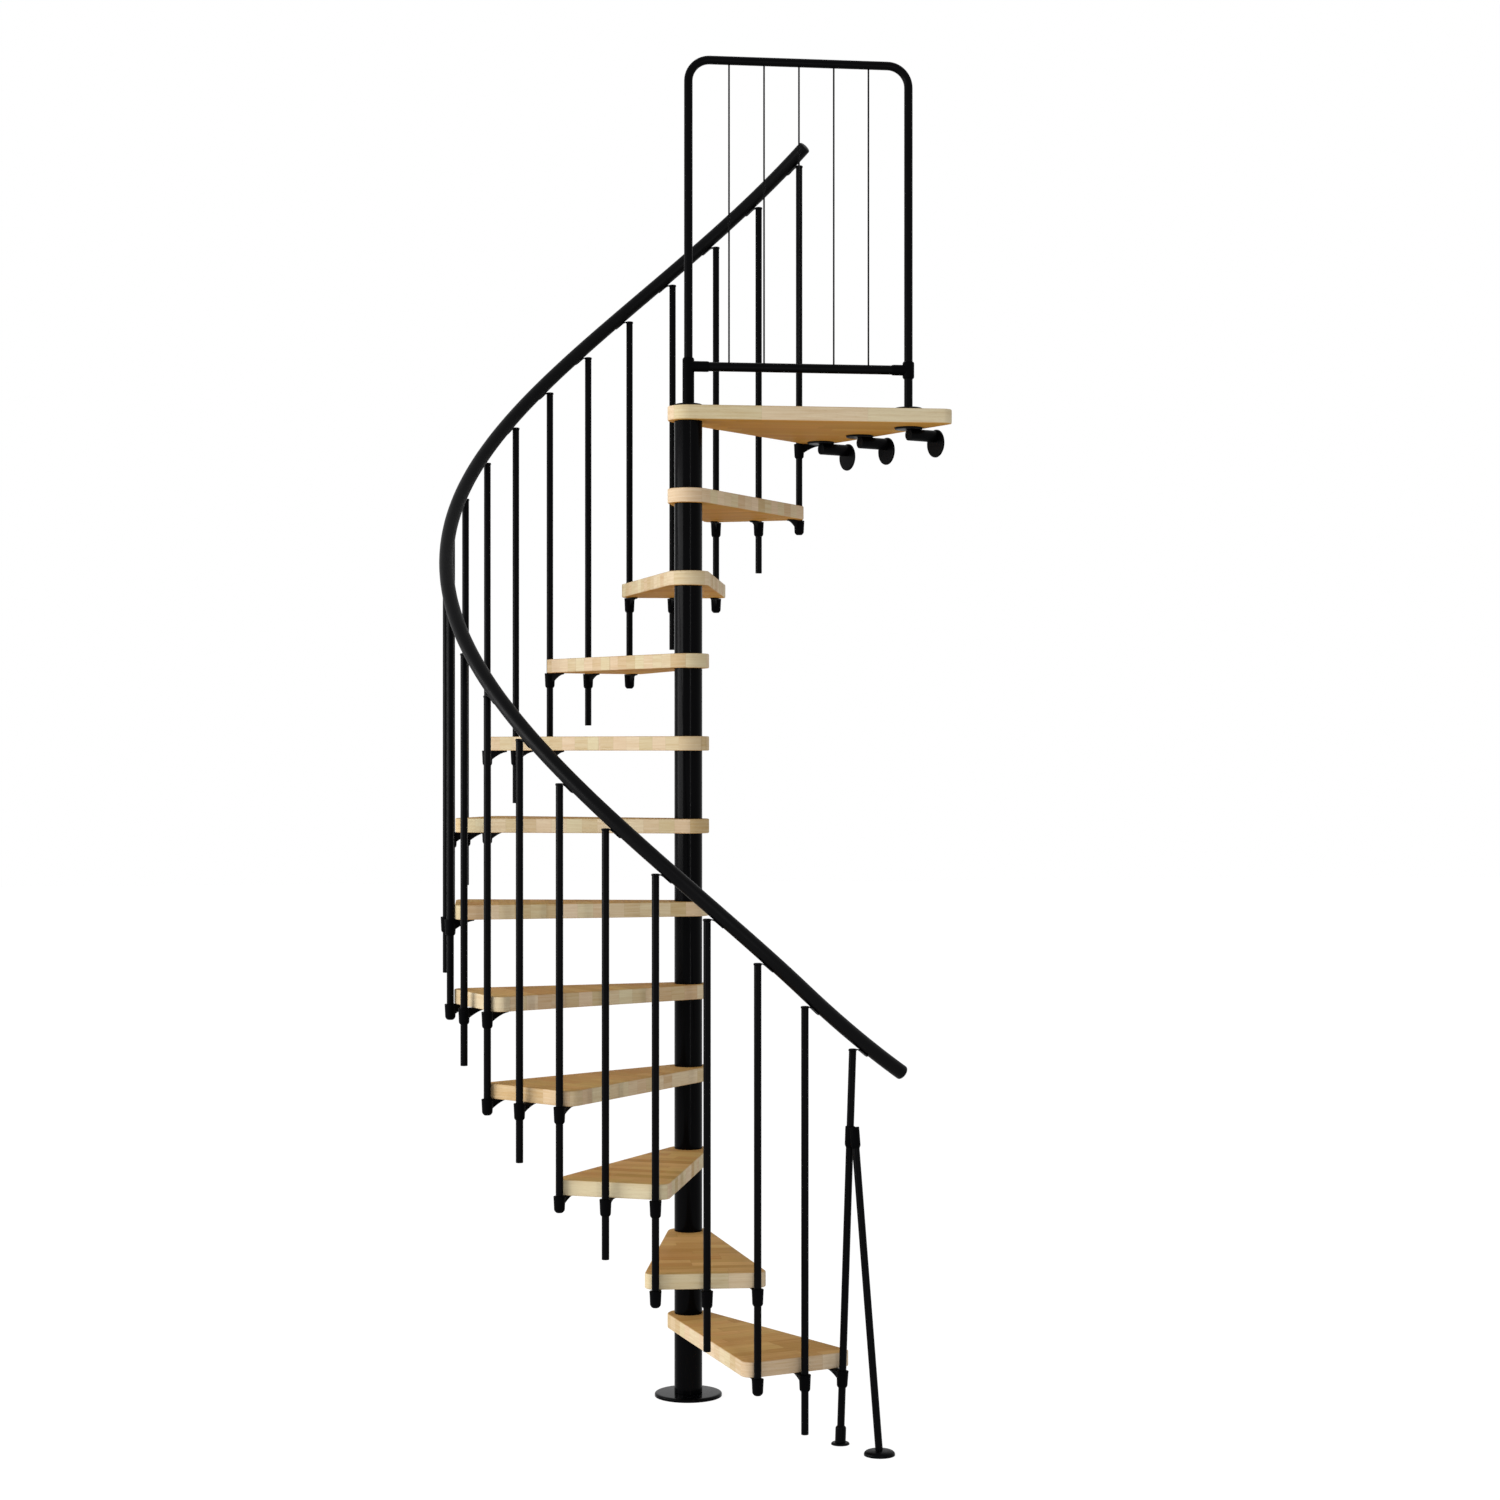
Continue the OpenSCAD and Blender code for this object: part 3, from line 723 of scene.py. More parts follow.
@dataclass
class Column(Part):
    """Base flange and the spacer tubes between the boards."""

    diameter: float = 78.0
    wall: float = 3.0
    flange_d: float = 188.0
    flange_t: float = 10.0
    flange_rim: Pair = (9.0, 5.0)
    ease: float = 0.8

    def tube(self, low: float, high: float) -> Patch:
        """Tube between two heights: a loop of outside, eased ends and bore turned about Z."""
        r, b, e = self.diameter / 2, self.diameter / 2 - self.wall, self.ease
        return bored(b, [(r - e, low), (r, low + e), (r, high - e), (r - e, high)], 64)

    def build(self) -> None:
        """Makes the flange and the tubes."""
        flange = button(self.flange_d, self.flange_t, self.flange_rim, 72)
        self.piece("base_flange", [flange], Slot.COLUMN, ["floor_flange"])
        spans = [(self.flange_t if n == 1 else self.layout.riser * (n - 1), self.layout.board_under(n))
                 for n in range(1, self.layout.treads + 2)]
        names = [f"column_tube_{n:02d}" for n in range(1, self.layout.treads + 2)]
        self.piece("column_spacers", [self.tube(*span) for span in spans], Slot.COLUMN, names)
        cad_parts["centre_rod"].data.materials.clear()
        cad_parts["centre_rod"].data.materials.append(self.finishes[Slot.STEEL])


@dataclass
class Boards(Part):
    """The wedge treads and the landing, glued up from staves, with eased edges."""

    width: float = 322.0
    edge_x: float = 647.0
    corner_r: float = 30.0
    ease: float = 3.0
    hole_r: float = 12.25
    landing_setback: float = 11.0
    tread_seed: float = 3.173
    landing_seed: float = 1.37
    seed_way: Place = (1.0, 1.7, 0.3)
    sharp: float = 50.0

    def wedge(self, apex: np.ndarray, right: np.ndarray, left: np.ndarray) -> np.ndarray:
        """Outline of a wedge: an arc round the column and two rounded outer corners.

        Args:
            apex: Where the two long sides would meet.
            right: Outer corner to the right.
            left: Outer corner to the left.

        Returns:
            Points, counterclockwise.
        """
        return np.concatenate([
            corner_arc(left, apex, right, self.layout.inner_r, 28),
            corner_arc(apex, right, left, self.corner_r, 12),
            corner_arc(right, left, apex, self.corner_r, 12)])

    def tread_outline(self) -> np.ndarray:
        """Outline of a tread whose centre line is +X.

        Its long sides touch the arc round the column, so the taper is the angle to an outer corner less the
        angle whose sine is the arc's radius over that corner's distance.

        Returns:
            Points, counterclockwise.
        """
        half, r = self.width / 2, self.layout.inner_r
        taper = math.atan2(half, self.edge_x) - math.asin(r / math.hypot(self.edge_x, half))
        apex = np.array([-r / math.sin(taper), 0.0])
        return self.wedge(apex, np.array([self.edge_x, -half]), np.array([self.edge_x, half]))

    def landing_outline(self) -> np.ndarray:
        """Outline of the landing, its guarded edge along +X.

        Its back side runs past the last baluster at a set distance, and its outer side is skewed.

        Returns:
            Points, counterclockwise.
        """
        r = self.layout.inner_r
        last_at = self.layout.baluster_at(2 * self.layout.treads)
        taper = math.radians(last_at) - math.asin((r + self.landing_setback) / self.layout.ring_r)
        front = np.array([self.layout.landing_len, -r])
        apex = np.array([-r / math.tan(taper / 2), -r])
        out = heading(self.layout.landing_skew)[:2]
        along = np.array([math.cos(taper), math.sin(taper)])
        back = apex + along * ((front - apex) @ out) / (along @ out)
        return self.wedge(apex, front, back)

    def board(self, outline: np.ndarray, seed: float, along_x: bool) -> Patch:
        """Board between its rod hole and its outline, as a loop of rows.

        A row is the outline moved in by an inset along its normal, at a height; the insets follow a
        quarter circle at both edges. The first and last rows are the hole's two rims.

        Args:
            outline: Points of the outline, counterclockwise.
            seed: Shift of the grain, in metres, so that boards differ.
            along_x: Whether the staves run along X in place of Y.

        Returns:
            The board with its attributes, underside at nought.
        """
        t, e = self.layout.board_t, self.ease
        ahead = unit(np.roll(outline, -1, 0) - outline)
        behind = np.roll(ahead, 1, 0)
        bisect = unit(ahead + behind)
        normal = np.stack([bisect[:, 1], -bisect[:, 0]], -1)
        q = np.linspace(0.0, np.pi / 2, 5)
        inset = np.concatenate([e * (1 - np.sin(q)), e * (1 - np.cos(q))])
        height = np.concatenate([e * (1 - np.cos(q)), t - e * (1 - np.sin(q))])
        rows = outline[None] - inset[:, None, None] * normal[None]
        angle = np.arctan2(outline[:, 1], outline[:, 0])
        hole = self.hole_r * np.stack([np.cos(angle), np.sin(angle)], -1)
        rows = np.concatenate([hole[None], rows, hole[None]])
        height = np.concatenate([[0.0], height, [t]])
        z = np.broadcast_to(height[:, None, None], rows.shape[:2] + (1,))
        points = np.concatenate([rows, z], -1)
        patch = grid(points, close_rows=True).outward()
        # edge marks the sides, whose paler colours are partly side grain and partly painted sheen
        edge = np.concatenate([[0.0], 1 - inset / e, [0.0]])
        # under marks the underside, where the wood finish paints shade
        under = (height < e / 2).astype(float)
        local = points.reshape(-1, 3) * MM
        if along_x:
            local = local[:, [1, 0, 2]]
        columns = len(outline)
        patch.values = {
            "grain": local + seed * np.array(self.seed_way),
            "edge": np.repeat(edge, columns),
            "under": np.repeat(under, columns)}
        return patch

    def build(self) -> None:
        """Makes the treads and the landing."""
        for n in range(1, self.layout.treads + 1):
            patch = self.board(self.tread_outline(), self.tread_seed * n, False)
            patch = patch.placed((0, 0, self.layout.board_under(n)), heading(self.layout.tread_at(n)))
            self.piece(f"tread_board_{n:02d}", [patch], Slot.BOARD, [f"tread_{n:02d}"], self.sharp)
        patch = self.board(self.landing_outline(), self.landing_seed, True)
        patch = patch.placed((0, 0, self.layout.landing_top - self.layout.board_t))
        self.piece("landing_board", [patch], Slot.BOARD, ["landing"], self.sharp)


@dataclass
class Handrail(Part):
    """The round handrail, its domed ends and the saddles that carry it on the balusters."""

    diameter: float = 39.4
    cap_len: float = 7.0
    cap_d: float = 22.0
    cap_h: float = 6.0
    cap_rim: Pair = (4.5, 2.8)
    cap_crown: float = 0.2
    tab_t: float = 3.0
    tab_w: float = 14.0
    tab_z: float = 3.5
    gap: float = 18.0
    plate_len: float = 34.0
    bend_run: float = 9.0
    tab_ease: float = 0.6
    bend_inset: float = 0.55
    least_run: float = 1.0
    helix_steps: int = 190
    foot_steps: int = 26

    def path(self) -> np.ndarray:
        """Helix over the balusters from the head down, then the straight foot.

        Returns:
            Points of the centre line.
        """
        lay = self.layout
        head = 2 * lay.treads + lay.handrail_head / (lay.ring_r * math.radians(lay.tread_turn / 2))
        k = np.linspace(head, 1.0, self.helix_steps)
        helix = polar(lay.ring_r, lay.baluster_at(k), lay.baluster_top(k) + lay.handrail_lift)
        foot = lay.foot_line(np.linspace(0.0, lay.handrail_foot, self.foot_steps)[1:])
        return np.concatenate([helix, foot])

    def tab(self, slope: float) -> Patch:
        """Bent plate: level from the cap, a soft bend, then along the handrail's underside.

        The centre line is a curve (1-u)^2 a + 2u(1-u) bend + u^2 b between two straights. Its section
        is a rectangle with eased corners whose width follows a half circle at the free end.

        Args:
            slope: Of the handrail there, as rise over run.

        Returns:
            The plate; +X is level and downhill, Z is up from the post's top.
        """
        a = math.atan(slope)
        down = np.array([math.cos(a), -math.sin(a)])
        inset = self.tab_t / 2 / math.tan(a) * self.bend_inset
        bend = np.array([(self.gap - self.tab_z) / slope - inset, self.tab_z])
        first = bend - np.array([min(self.bend_run, bend[0] - self.least_run), 0.0])
        last = bend + self.bend_run * down
        curve = np.array(rounded(tuple(bend), tuple(first), tuple(last), 8))
        tail = bend + np.linspace(self.bend_run, self.plate_len, 10)[1:, None] * down
        line = np.concatenate([[[0.0, self.tab_z]], curve, tail])
        path = np.stack([line[:, 0], np.zeros(len(line)), line[:, 1]], -1)
        _, side, up = pipe_frames(path, False)
        run = np.concatenate([[0.0], np.cumsum(np.linalg.norm(np.diff(line, axis=0), axis=1))])
        left = np.clip(run[-1] - run, 0.0, self.tab_w / 2)
        half = np.maximum(np.sqrt(self.tab_w ** 2 / 4 - (self.tab_w / 2 - left) ** 2), self.tab_ease)
        e, h = self.tab_ease, self.tab_t / 2
        w = np.stack([half - e, half, half, half - e, e - half, -half, -half, e - half], -1)
        z = np.array([h, h - e, e - h, -h, -h, e - h, h - e, h])
        rings = path[:, None] + w[..., None] * side[:, None] + z[None, :, None] * up[:, None]
        return closed_tube(rings)

    def saddle(self, slope: float) -> Patch:
        """Low domed cap on a post's top and its bent plate."""
        return bundle([button(self.cap_d, self.cap_h, self.cap_rim, 28, 6, self.cap_crown), self.tab(slope)])

    def build(self) -> None:
        """Makes the handrail and all the saddles."""
        lay = self.layout
        tube = pipe(self.path(), self.diameter, 32, self.cap_len)
        self.piece("handrail_round", [tube], Slot.HANDRAIL, ["handrail", "handrail_end_caps"])
        saddles = []
        for k in range(1, 2 * lay.treads + 1):
            a = lay.baluster_at(k)
            saddles.append(self.saddle(lay.slope).placed(
                polar(lay.ring_r, a, lay.baluster_top(k)), heading(a + 90.0)))
        reach = lay.newel_reach
        saddles.append(self.saddle(lay.slope - 2 * lay.foot_ease * reach).placed(
            lay.foot_line(reach) - lay.handrail_lift * UP, heading(lay.baluster_at(1) + 90.0)))
        self.piece("baluster_saddles", saddles, Slot.RAIL, ["handrail_saddles"])


@dataclass
class Balusters(Part):
    """Upright balusters round the stair."""

    ease: float = 1.6
    sides: int = 24

    def row(self, first: int) -> Patch:
        """Every second baluster from the first one on.

        Args:
            first: Number of the first one.

        Returns:
            The bars.
        """
        lay = self.layout
        bar = rod(lay.baluster_len, lay.baluster_d, self.ease, self.sides)
        feet = [polar(lay.ring_r, lay.baluster_at(k), lay.baluster_top(k) - lay.baluster_len)
                for k in range(first, 2 * lay.treads + 1, 2)]
        return bundle([bar.placed(foot) for foot in feet])

    def build(self) -> None:
        """Makes the two rows of balusters."""
        self.piece("middle_bars", [self.row(1)], Slot.RAIL, ["mid_balusters"])
        self.piece("link_bars", [self.row(2)], Slot.RAIL, ["link_balusters"])


@dataclass
class Newel(Part):
    """Leaning newel at the first tread, with its foot, brace, clamp and the brace's foot."""

    foot_out: float = 14.0
    foot_at: float = -61.5
    plate_d: float = 48.0
    plate_t: float = 6.0
    plate_rim: Pair = (7.0, 5.0)
    socket_d: float = 28.0
    socket_len: float = 45.0
    socket_bevel: Pair = (4.0, 6.0)
    post_ease: float = 1.2
    post_from: float = 8.0
    post_short: float = 0.4
    bite: float = 0.3
    clamp_z: float = 795.0
    clamp_len: float = 56.0
    clamp_d: float = 26.0
    clamp_pitch: float = 21.0
    clamp_taper: tuple[Pair, ...] = ((-3.4, 0.0), (-0.4, 7.0), (0.0, 9.0))
    clamp_ease: float = 2.4
    brace_reach: float = 148.0
    brace_at: float = -60.75
    dome_d: float = 80.0
    dome_t: float = 14.0
    dome_rim: Pair = (28.0, 11.0)
    seat: float = 3.0

    def __post_init__(self) -> None:
        """Works out the bores and the newel's and the brace's lines."""
        lay = self.layout
        self.bore_r = lay.baluster_d / 2 - self.bite
        self.foot = polar(lay.ring_r + self.foot_out, self.foot_at, 0.0)
        self.top = lay.foot_line(lay.newel_reach) - lay.handrail_lift * UP
        self.lean = unit(self.top - self.foot)
        self.brace_foot = polar(lay.ring_r + self.foot_out + self.brace_reach, self.brace_at, 0.0)
        self.joint = self.at_height(self.clamp_z)
        self.brace_top = self.joint + self.clamp_pitch * unit(self.brace_foot)
        self.brace_lean = unit(self.brace_top - self.brace_foot)

    def at_height(self, z: float) -> np.ndarray:
        """Point of the newel's axis at a height."""
        return self.foot + self.lean * (z / self.lean[2])

    def stem(self, foot: np.ndarray, lean: np.ndarray, top: np.ndarray) -> Patch:
        """Round bar along a leaning line from just above the floor to its top.

        Args:
            foot: Where the line meets the floor.
            lean: Its direction.
            top: Its upper end.

        Returns:
            The bar.
        """
        length = float(np.linalg.norm(top - foot)) - self.post_from - self.post_short
        bar = rod(length, self.layout.baluster_d, self.post_ease, 24)
        return bar.placed(foot + lean * self.post_from, z_axis=lean)

    def barrel(self) -> Patch:
        """Clamp barrel: tapered lower end, eased upper end, turned about its axis.

        Returns:
            The barrel, from nought up.
        """
        r, n, e = self.clamp_d / 2, self.clamp_len, self.clamp_ease
        low = [(r + x, z) for x, z in self.clamp_taper]
        return bored(self.bore_r, [*low, *rounded((r, n), (r, n - e), (r - e, n))], 32)

    def socket(self) -> Patch:
        """Newel's foot socket: a sleeve with a long bevel at its upper end."""
        r, n, (w, h) = self.socket_d / 2, self.socket_len, self.socket_bevel
        return bored(self.bore_r, [(r, 0), *rounded((r, n - h / 2), (r, n - h), (r - w, n))], 32)

    def build(self) -> None:
        """Makes the posts, the clamp and both feet."""
        self.piece("newel_stem", [self.stem(self.foot, self.lean, self.top)], Slot.RAIL, ["newel_post"])
        brace = self.stem(self.brace_foot, self.brace_lean, self.brace_top)
        self.piece("brace_stem", [brace], Slot.RAIL, ["brace_strut"])
        half = self.clamp_len / 2
        barrels = [
            self.barrel().placed(self.joint - self.lean * half, z_axis=self.lean),
            self.barrel().placed(self.brace_top - self.brace_lean * half, z_axis=self.brace_lean)]
        self.piece("brace_pinch", barrels, Slot.BRACKET, ["brace_clamp"])
        plate = button(self.plate_d, self.plate_t, self.plate_rim, 40).placed(self.foot)
        socket = self.socket().placed(self.foot + self.lean * self.seat, z_axis=self.lean)
        self.piece("newel_button", [plate, socket], Slot.RAIL, ["newel_foot"])
        dome = button(self.dome_d, self.dome_t, self.dome_rim, 56).placed(self.brace_foot)
        self.piece("brace_dome", [dome], Slot.RAIL, ["brace_foot"])


@dataclass
class Brackets(Part):
    """Moulded brackets that hold the balusters under the boards' outer edges."""

    newel: Newel
    sleeve_r: float = 14.0
    collar_r: float = 15.7
    bore_r: float = 9.9
    length: float = 43.0
    floor: float = 3.0
    arm_len: float = 66.0
    plate_w: float = 24.0
    plate_t: float = 4.0
    rib_w: float = 9.0
    rib_h: float = 26.0
    nose_r: float = 10.0
    fillet: float = 1.6
    ease: float = 0.8
    bite: float = 1.5
    nose_share: float = 0.14
    plate_taper: float = 1.5
    tip: float = 1.0
    tip_rib: float = 0.6
    rib_ease: float = 0.9
    rib_power: float = 1.7
    collar: tuple[Pair, ...] = ((-0.3, -4.5), (0.0, -3.0), (0.0, -0.8), (-0.8, 0.0))
    through_end: tuple[Pair, ...] = ((-0.4, 3.0), (-3.0, 0.0), (0.0, 5.5))
    closed_end: tuple[Pair, ...] = ((-1.5, 3.0), (-6.5, 0.0), (0.0, 8.0))
    sharp: float = 42.0
    landing_arm_at: float = 0.0

    def sleeve(self, end: SleeveEnd) -> Patch:
        """Sleeve hanging from nought: slightly tapered, its lower end bevelled or closed and rounded.

        Args:
            end: How its lower end is made.

        Returns:
            The sleeve.
        """
        r, c, b, n = self.sleeve_r, self.collar_r, self.bore_r, -self.length
        top = [(c + x, z) for x, z in self.collar]
        if end is SleeveEnd.THROUGH:
            return bored(b, [*rounded(*[(r + x, n + z) for x, z in self.through_end]), *top], 36)
        low = rounded(*[(r + x, n + z) for x, z in self.closed_end], 6)
        return turned([(0, n), *low, *top, (b, 0), (b, n + self.floor), (0, n + self.floor)], 36)

    def arm(self) -> Patch:
        """Arm along -X: a T section, plate above and rib below, carried from the sleeve to the tip.

        The rib's depth falls from the sleeve to the tip as a power of the distance left; the plate's half
        width narrows evenly and follows a round nose over its last stretch.

        Returns:
            The closed arm, its upper face at nought.
        """
        last, q = self.nose_share, np.linspace(0, np.pi / 2, 8)[1:]
        u = np.concatenate([np.linspace(0.0, 1 - last, 14), 1 - last * (1 - np.sin(q))])
        start = self.bore_r + self.bite
        x = -(start + (self.arm_len - start) * u)
        left = np.clip((self.arm_len + x) / (self.arm_len - self.sleeve_r), 0, 1)
        depth = self.plate_t + self.tip_rib + (self.rib_h - self.plate_t) * left ** self.rib_power
        t, e, n = self.plate_t, self.ease, self.nose_r
        nose = np.clip(self.arm_len + x, 0.0, n)
        half = self.plate_w / 2 - n + np.sqrt(n ** 2 - (n - nose) ** 2) - self.plate_taper * u
        half = np.maximum(half, self.tip)
        rib = np.minimum(self.rib_w / 2, half - e)
        root, foot = np.minimum(rib + self.fillet, half - e), np.maximum(rib - self.rib_ease, rib / 2)
        w = np.stack([half - e, half, half, half - e, root, rib, foot, -foot, -rib, -root, e - half, -half, -half,
                      e - half], -1)
        low = np.minimum(t + self.fillet, np.maximum(depth - 1.0, t + 0.3))
        z = -np.stack(np.broadcast_arrays(0.0, e, t - e, t, t, low, depth, depth, low, t, t, t - e, e, 0.0), -1)
        rings = np.stack([np.broadcast_to(x[:, None], w.shape), w, z], -1)
        return closed_tube(rings)

    def bracket(self, end: SleeveEnd) -> Patch:
        """Sleeve and arm together; the arm reaches along -X."""
        return bundle([self.sleeve(end), self.arm()])

    def at(self, k: int, height: float, end: SleeveEnd) -> Patch:
        """Bracket at baluster k under a board, its arm pointing to the column."""
        a = self.layout.baluster_at(k)
        return self.bracket(end).placed(polar(self.layout.ring_r, a, height), heading(a))

    def build(self) -> None:
        """Makes the brackets at the front, the middle and the back of the boards."""
        lay = self.layout
        front = [self.at(2 * n - 2, lay.board_under(n), SleeveEnd.THROUGH) for n in range(2, lay.treads + 1)]
        last = polar(lay.ring_r, lay.baluster_at(2 * lay.treads), lay.landing_top - lay.board_t)
        front.append(self.bracket(SleeveEnd.THROUGH).placed(last, heading(self.landing_arm_at + 180.0)))
        lean = self.newel.at_height(lay.board_under(1))
        out = np.array([lean[0], lean[1], 0.0])
        front.append(self.sleeve(SleeveEnd.THROUGH).placed(lean, out, self.newel.lean))
        front.append(self.arm().placed(lean, out))
        self.piece("front_brackets", front, Slot.BRACKET, ["nosing_brackets"], self.sharp)
        middle = [self.at(2 * n - 1, lay.board_under(n), SleeveEnd.THROUGH) for n in range(1, lay.treads + 1)]
        self.piece("middle_brackets", middle, Slot.BRACKET, ["mid_brackets"], self.sharp)
        back = [self.at(2 * n, lay.board_under(n), SleeveEnd.CLOSED) for n in range(1, lay.treads + 1)]
        self.piece("back_brackets", back, Slot.BRACKET, ["rear_brackets"], self.sharp)


@dataclass
class LandingRail(Part):
    """Guard rail on the landing: bent tube, bottom bar, tee fittings, thin rods and post flanges."""

    width: float = 625.0
    height: float = 970.0
    tube_d: float = 24.0
    bend_r: float = 60.0
    bar_z: float = 113.0
    bar_d: float = 26.0
    bar_ease: float = 0.6
    tee_d: float = 33.0
    socket_d: float = 30.0
    inner_reach: float = 58.0
    outer_reach: float = 48.0
    half_h: float = 24.0
    rods: int = 5
    rod_end: float = 114.5
    rod_d: float = 5.0
    rod_ease: float = 0.3
    flange_d: float = 82.0
    flange_t: float = 8.0
    flange_rim: Pair = (14.0, 6.0)
    bevel: Pair = (2.6, 4.0)
    mouth: float = 6.0
    lip: float = 0.6
    bite: float = 0.1
    rod_bite: float = 1.0
    straight: float = 5.0
    tube_cap: float = 0.3

    def path(self) -> np.ndarray:
        """Up one post, round a quarter circle, along the top, round another and down.

        Returns:
            Points of the centre line.
        """
        top, low = self.layout.landing_top + self.height, self.layout.landing_top + self.flange_t
        a = np.linspace(0.0, np.pi / 2, 14)
        r, w, post = self.bend_r, self.width, top - self.bend_r - self.straight
        x = np.concatenate([[0.0, 0.0], r * (1 - np.cos(a)), w - r * (1 - np.sin(a)), [w, w]])
        z = np.concatenate([[low, post], top - r * (1 - np.sin(a)), top - r * (1 - np.cos(a)), [post, low]])
        return np.stack([x, np.zeros_like(x), z], -1)

    def collar(self, low: float, high: float, flat_foot: bool) -> Patch:
        """Sleeve of a tee round a post, bevelled at its free ends.

        Args:
            low: Height of the lower end.
            high: Height of the upper end.
            flat_foot: Whether it stands on a flange, unbevelled.

        Returns:
            The sleeve.
        """
        r, (w, h) = self.tee_d / 2, self.bevel
        foot = [(r, low)] if flat_foot else [(r - w, low), (r, low + h)]
        return bored(self.tube_d / 2 - self.bite, [*foot, (r, high - h), (r - w, high)], 40)

    def socket(self, reach: float) -> Patch:
        """Socket of a tee along Z from nought, with a bevelled mouth.

        Args:
            reach: Of its mouth from the post's axis.

        Returns:
            The socket.
        """
        r, b, mouth = self.socket_d / 2, self.bar_d / 2 - self.bite, reach - self.mouth
        edge = rounded((r, reach - self.mouth / 3), (r, mouth), (b + self.lip, reach))
        return bored(b, [(r, self.bevel[1]), *edge], 40)

    def build(self) -> None:
        """Makes the rail's pieces."""
        base = self.layout.landing_top
        bar = base + self.bar_z
        tube = pipe(self.path(), self.tube_d, 28, self.tube_cap, level=False)
        self.piece("guard_tube", [tube], Slot.RAIL, ["rail_frame"])
        rung = rod(self.width - self.tube_d, self.bar_d, self.bar_ease, 28)
        rung = rung.placed((self.tube_d / 2, 0, bar), UP, ACROSS)
        self.piece("guard_bar", [rung], Slot.RAIL, ["rail_bottom_bar"])
        tees = [
            self.collar(base + self.flange_t, bar + self.half_h, True),
            self.socket(self.inner_reach).placed((0, 0, bar), UP, ACROSS),
            self.collar(bar - self.half_h, bar + self.half_h, False).placed((self.width, 0, 0)),
            self.socket(self.outer_reach).placed((self.width, 0, bar), UP, -ACROSS)]
        self.piece("guard_tees", tees, Slot.BRACKET, ["rail_tees"])
        low = bar + self.bar_d / 2 - self.rod_bite
        high = base + self.height - self.tube_d / 2 + self.rod_bite
        places = np.linspace(self.rod_end, self.width - self.rod_end, self.rods)
        wires = [rod(high - low, self.rod_d, self.rod_ease, 12).placed((x, 0, low)) for x in places]
        self.piece("guard_rods", wires, Slot.RAIL, ["rail_rods"])
        flanges = [button(self.flange_d, self.flange_t, self.flange_rim, 56).placed((x, 0, base))
                   for x in (0.0, self.width)]
        self.piece("guard_flanges", flanges, Slot.RAIL, ["rail_flanges"])


@dataclass
class WallBrackets(Part):
    """Three stand-offs from the landing's underside to the wall."""

    places: tuple[float, ...] = (168.0, 413.0, 617.0)
    gap: float = 42.0
    plate_d: float = 80.0
    plate_t: float = 6.0
    tube_d: float = 34.0
    tube_len: float = 98.0
    seat: float = 3.0
    drop: float = 20.0
    plate_rim: Pair = (5.0, 4.0)
    ease: float = 0.8

    def standoff(self) -> Patch:
        """Plate under the board, tube out to the wall, plate on the wall; +X faces the wall.

        Returns:
            The stand-off.
        """
        tube_z = self.seat - self.plate_t - self.tube_d / 2
        plate = button(self.plate_d, self.plate_t, self.plate_rim, 56)
        upper = plate.placed((-self.tube_len, 0, 0), ACROSS, -UP)
        bar = rod(self.tube_len - self.plate_t / 2, self.tube_d, self.ease, 40)
        tube = bar.placed((-self.tube_len, 0, tube_z), UP, ACROSS)
        wall = plate.placed((0, 0, tube_z - self.drop), UP, -ACROSS)
        return bundle([upper, tube, wall])

    def build(self) -> None:
        """Makes the three stand-offs along the landing's outer edge."""
        lay = self.layout
        out, along = heading(lay.landing_skew), heading(lay.landing_skew + 90.0)
        start = np.array([lay.landing_len, -lay.inner_r, lay.landing_top - lay.board_t])
        made = [self.standoff().placed(start + along * s + out * self.gap, out) for s in self.places]
        self.piece("wall_standoffs", made, Slot.RAIL, ["wall_brackets"])


# Studio


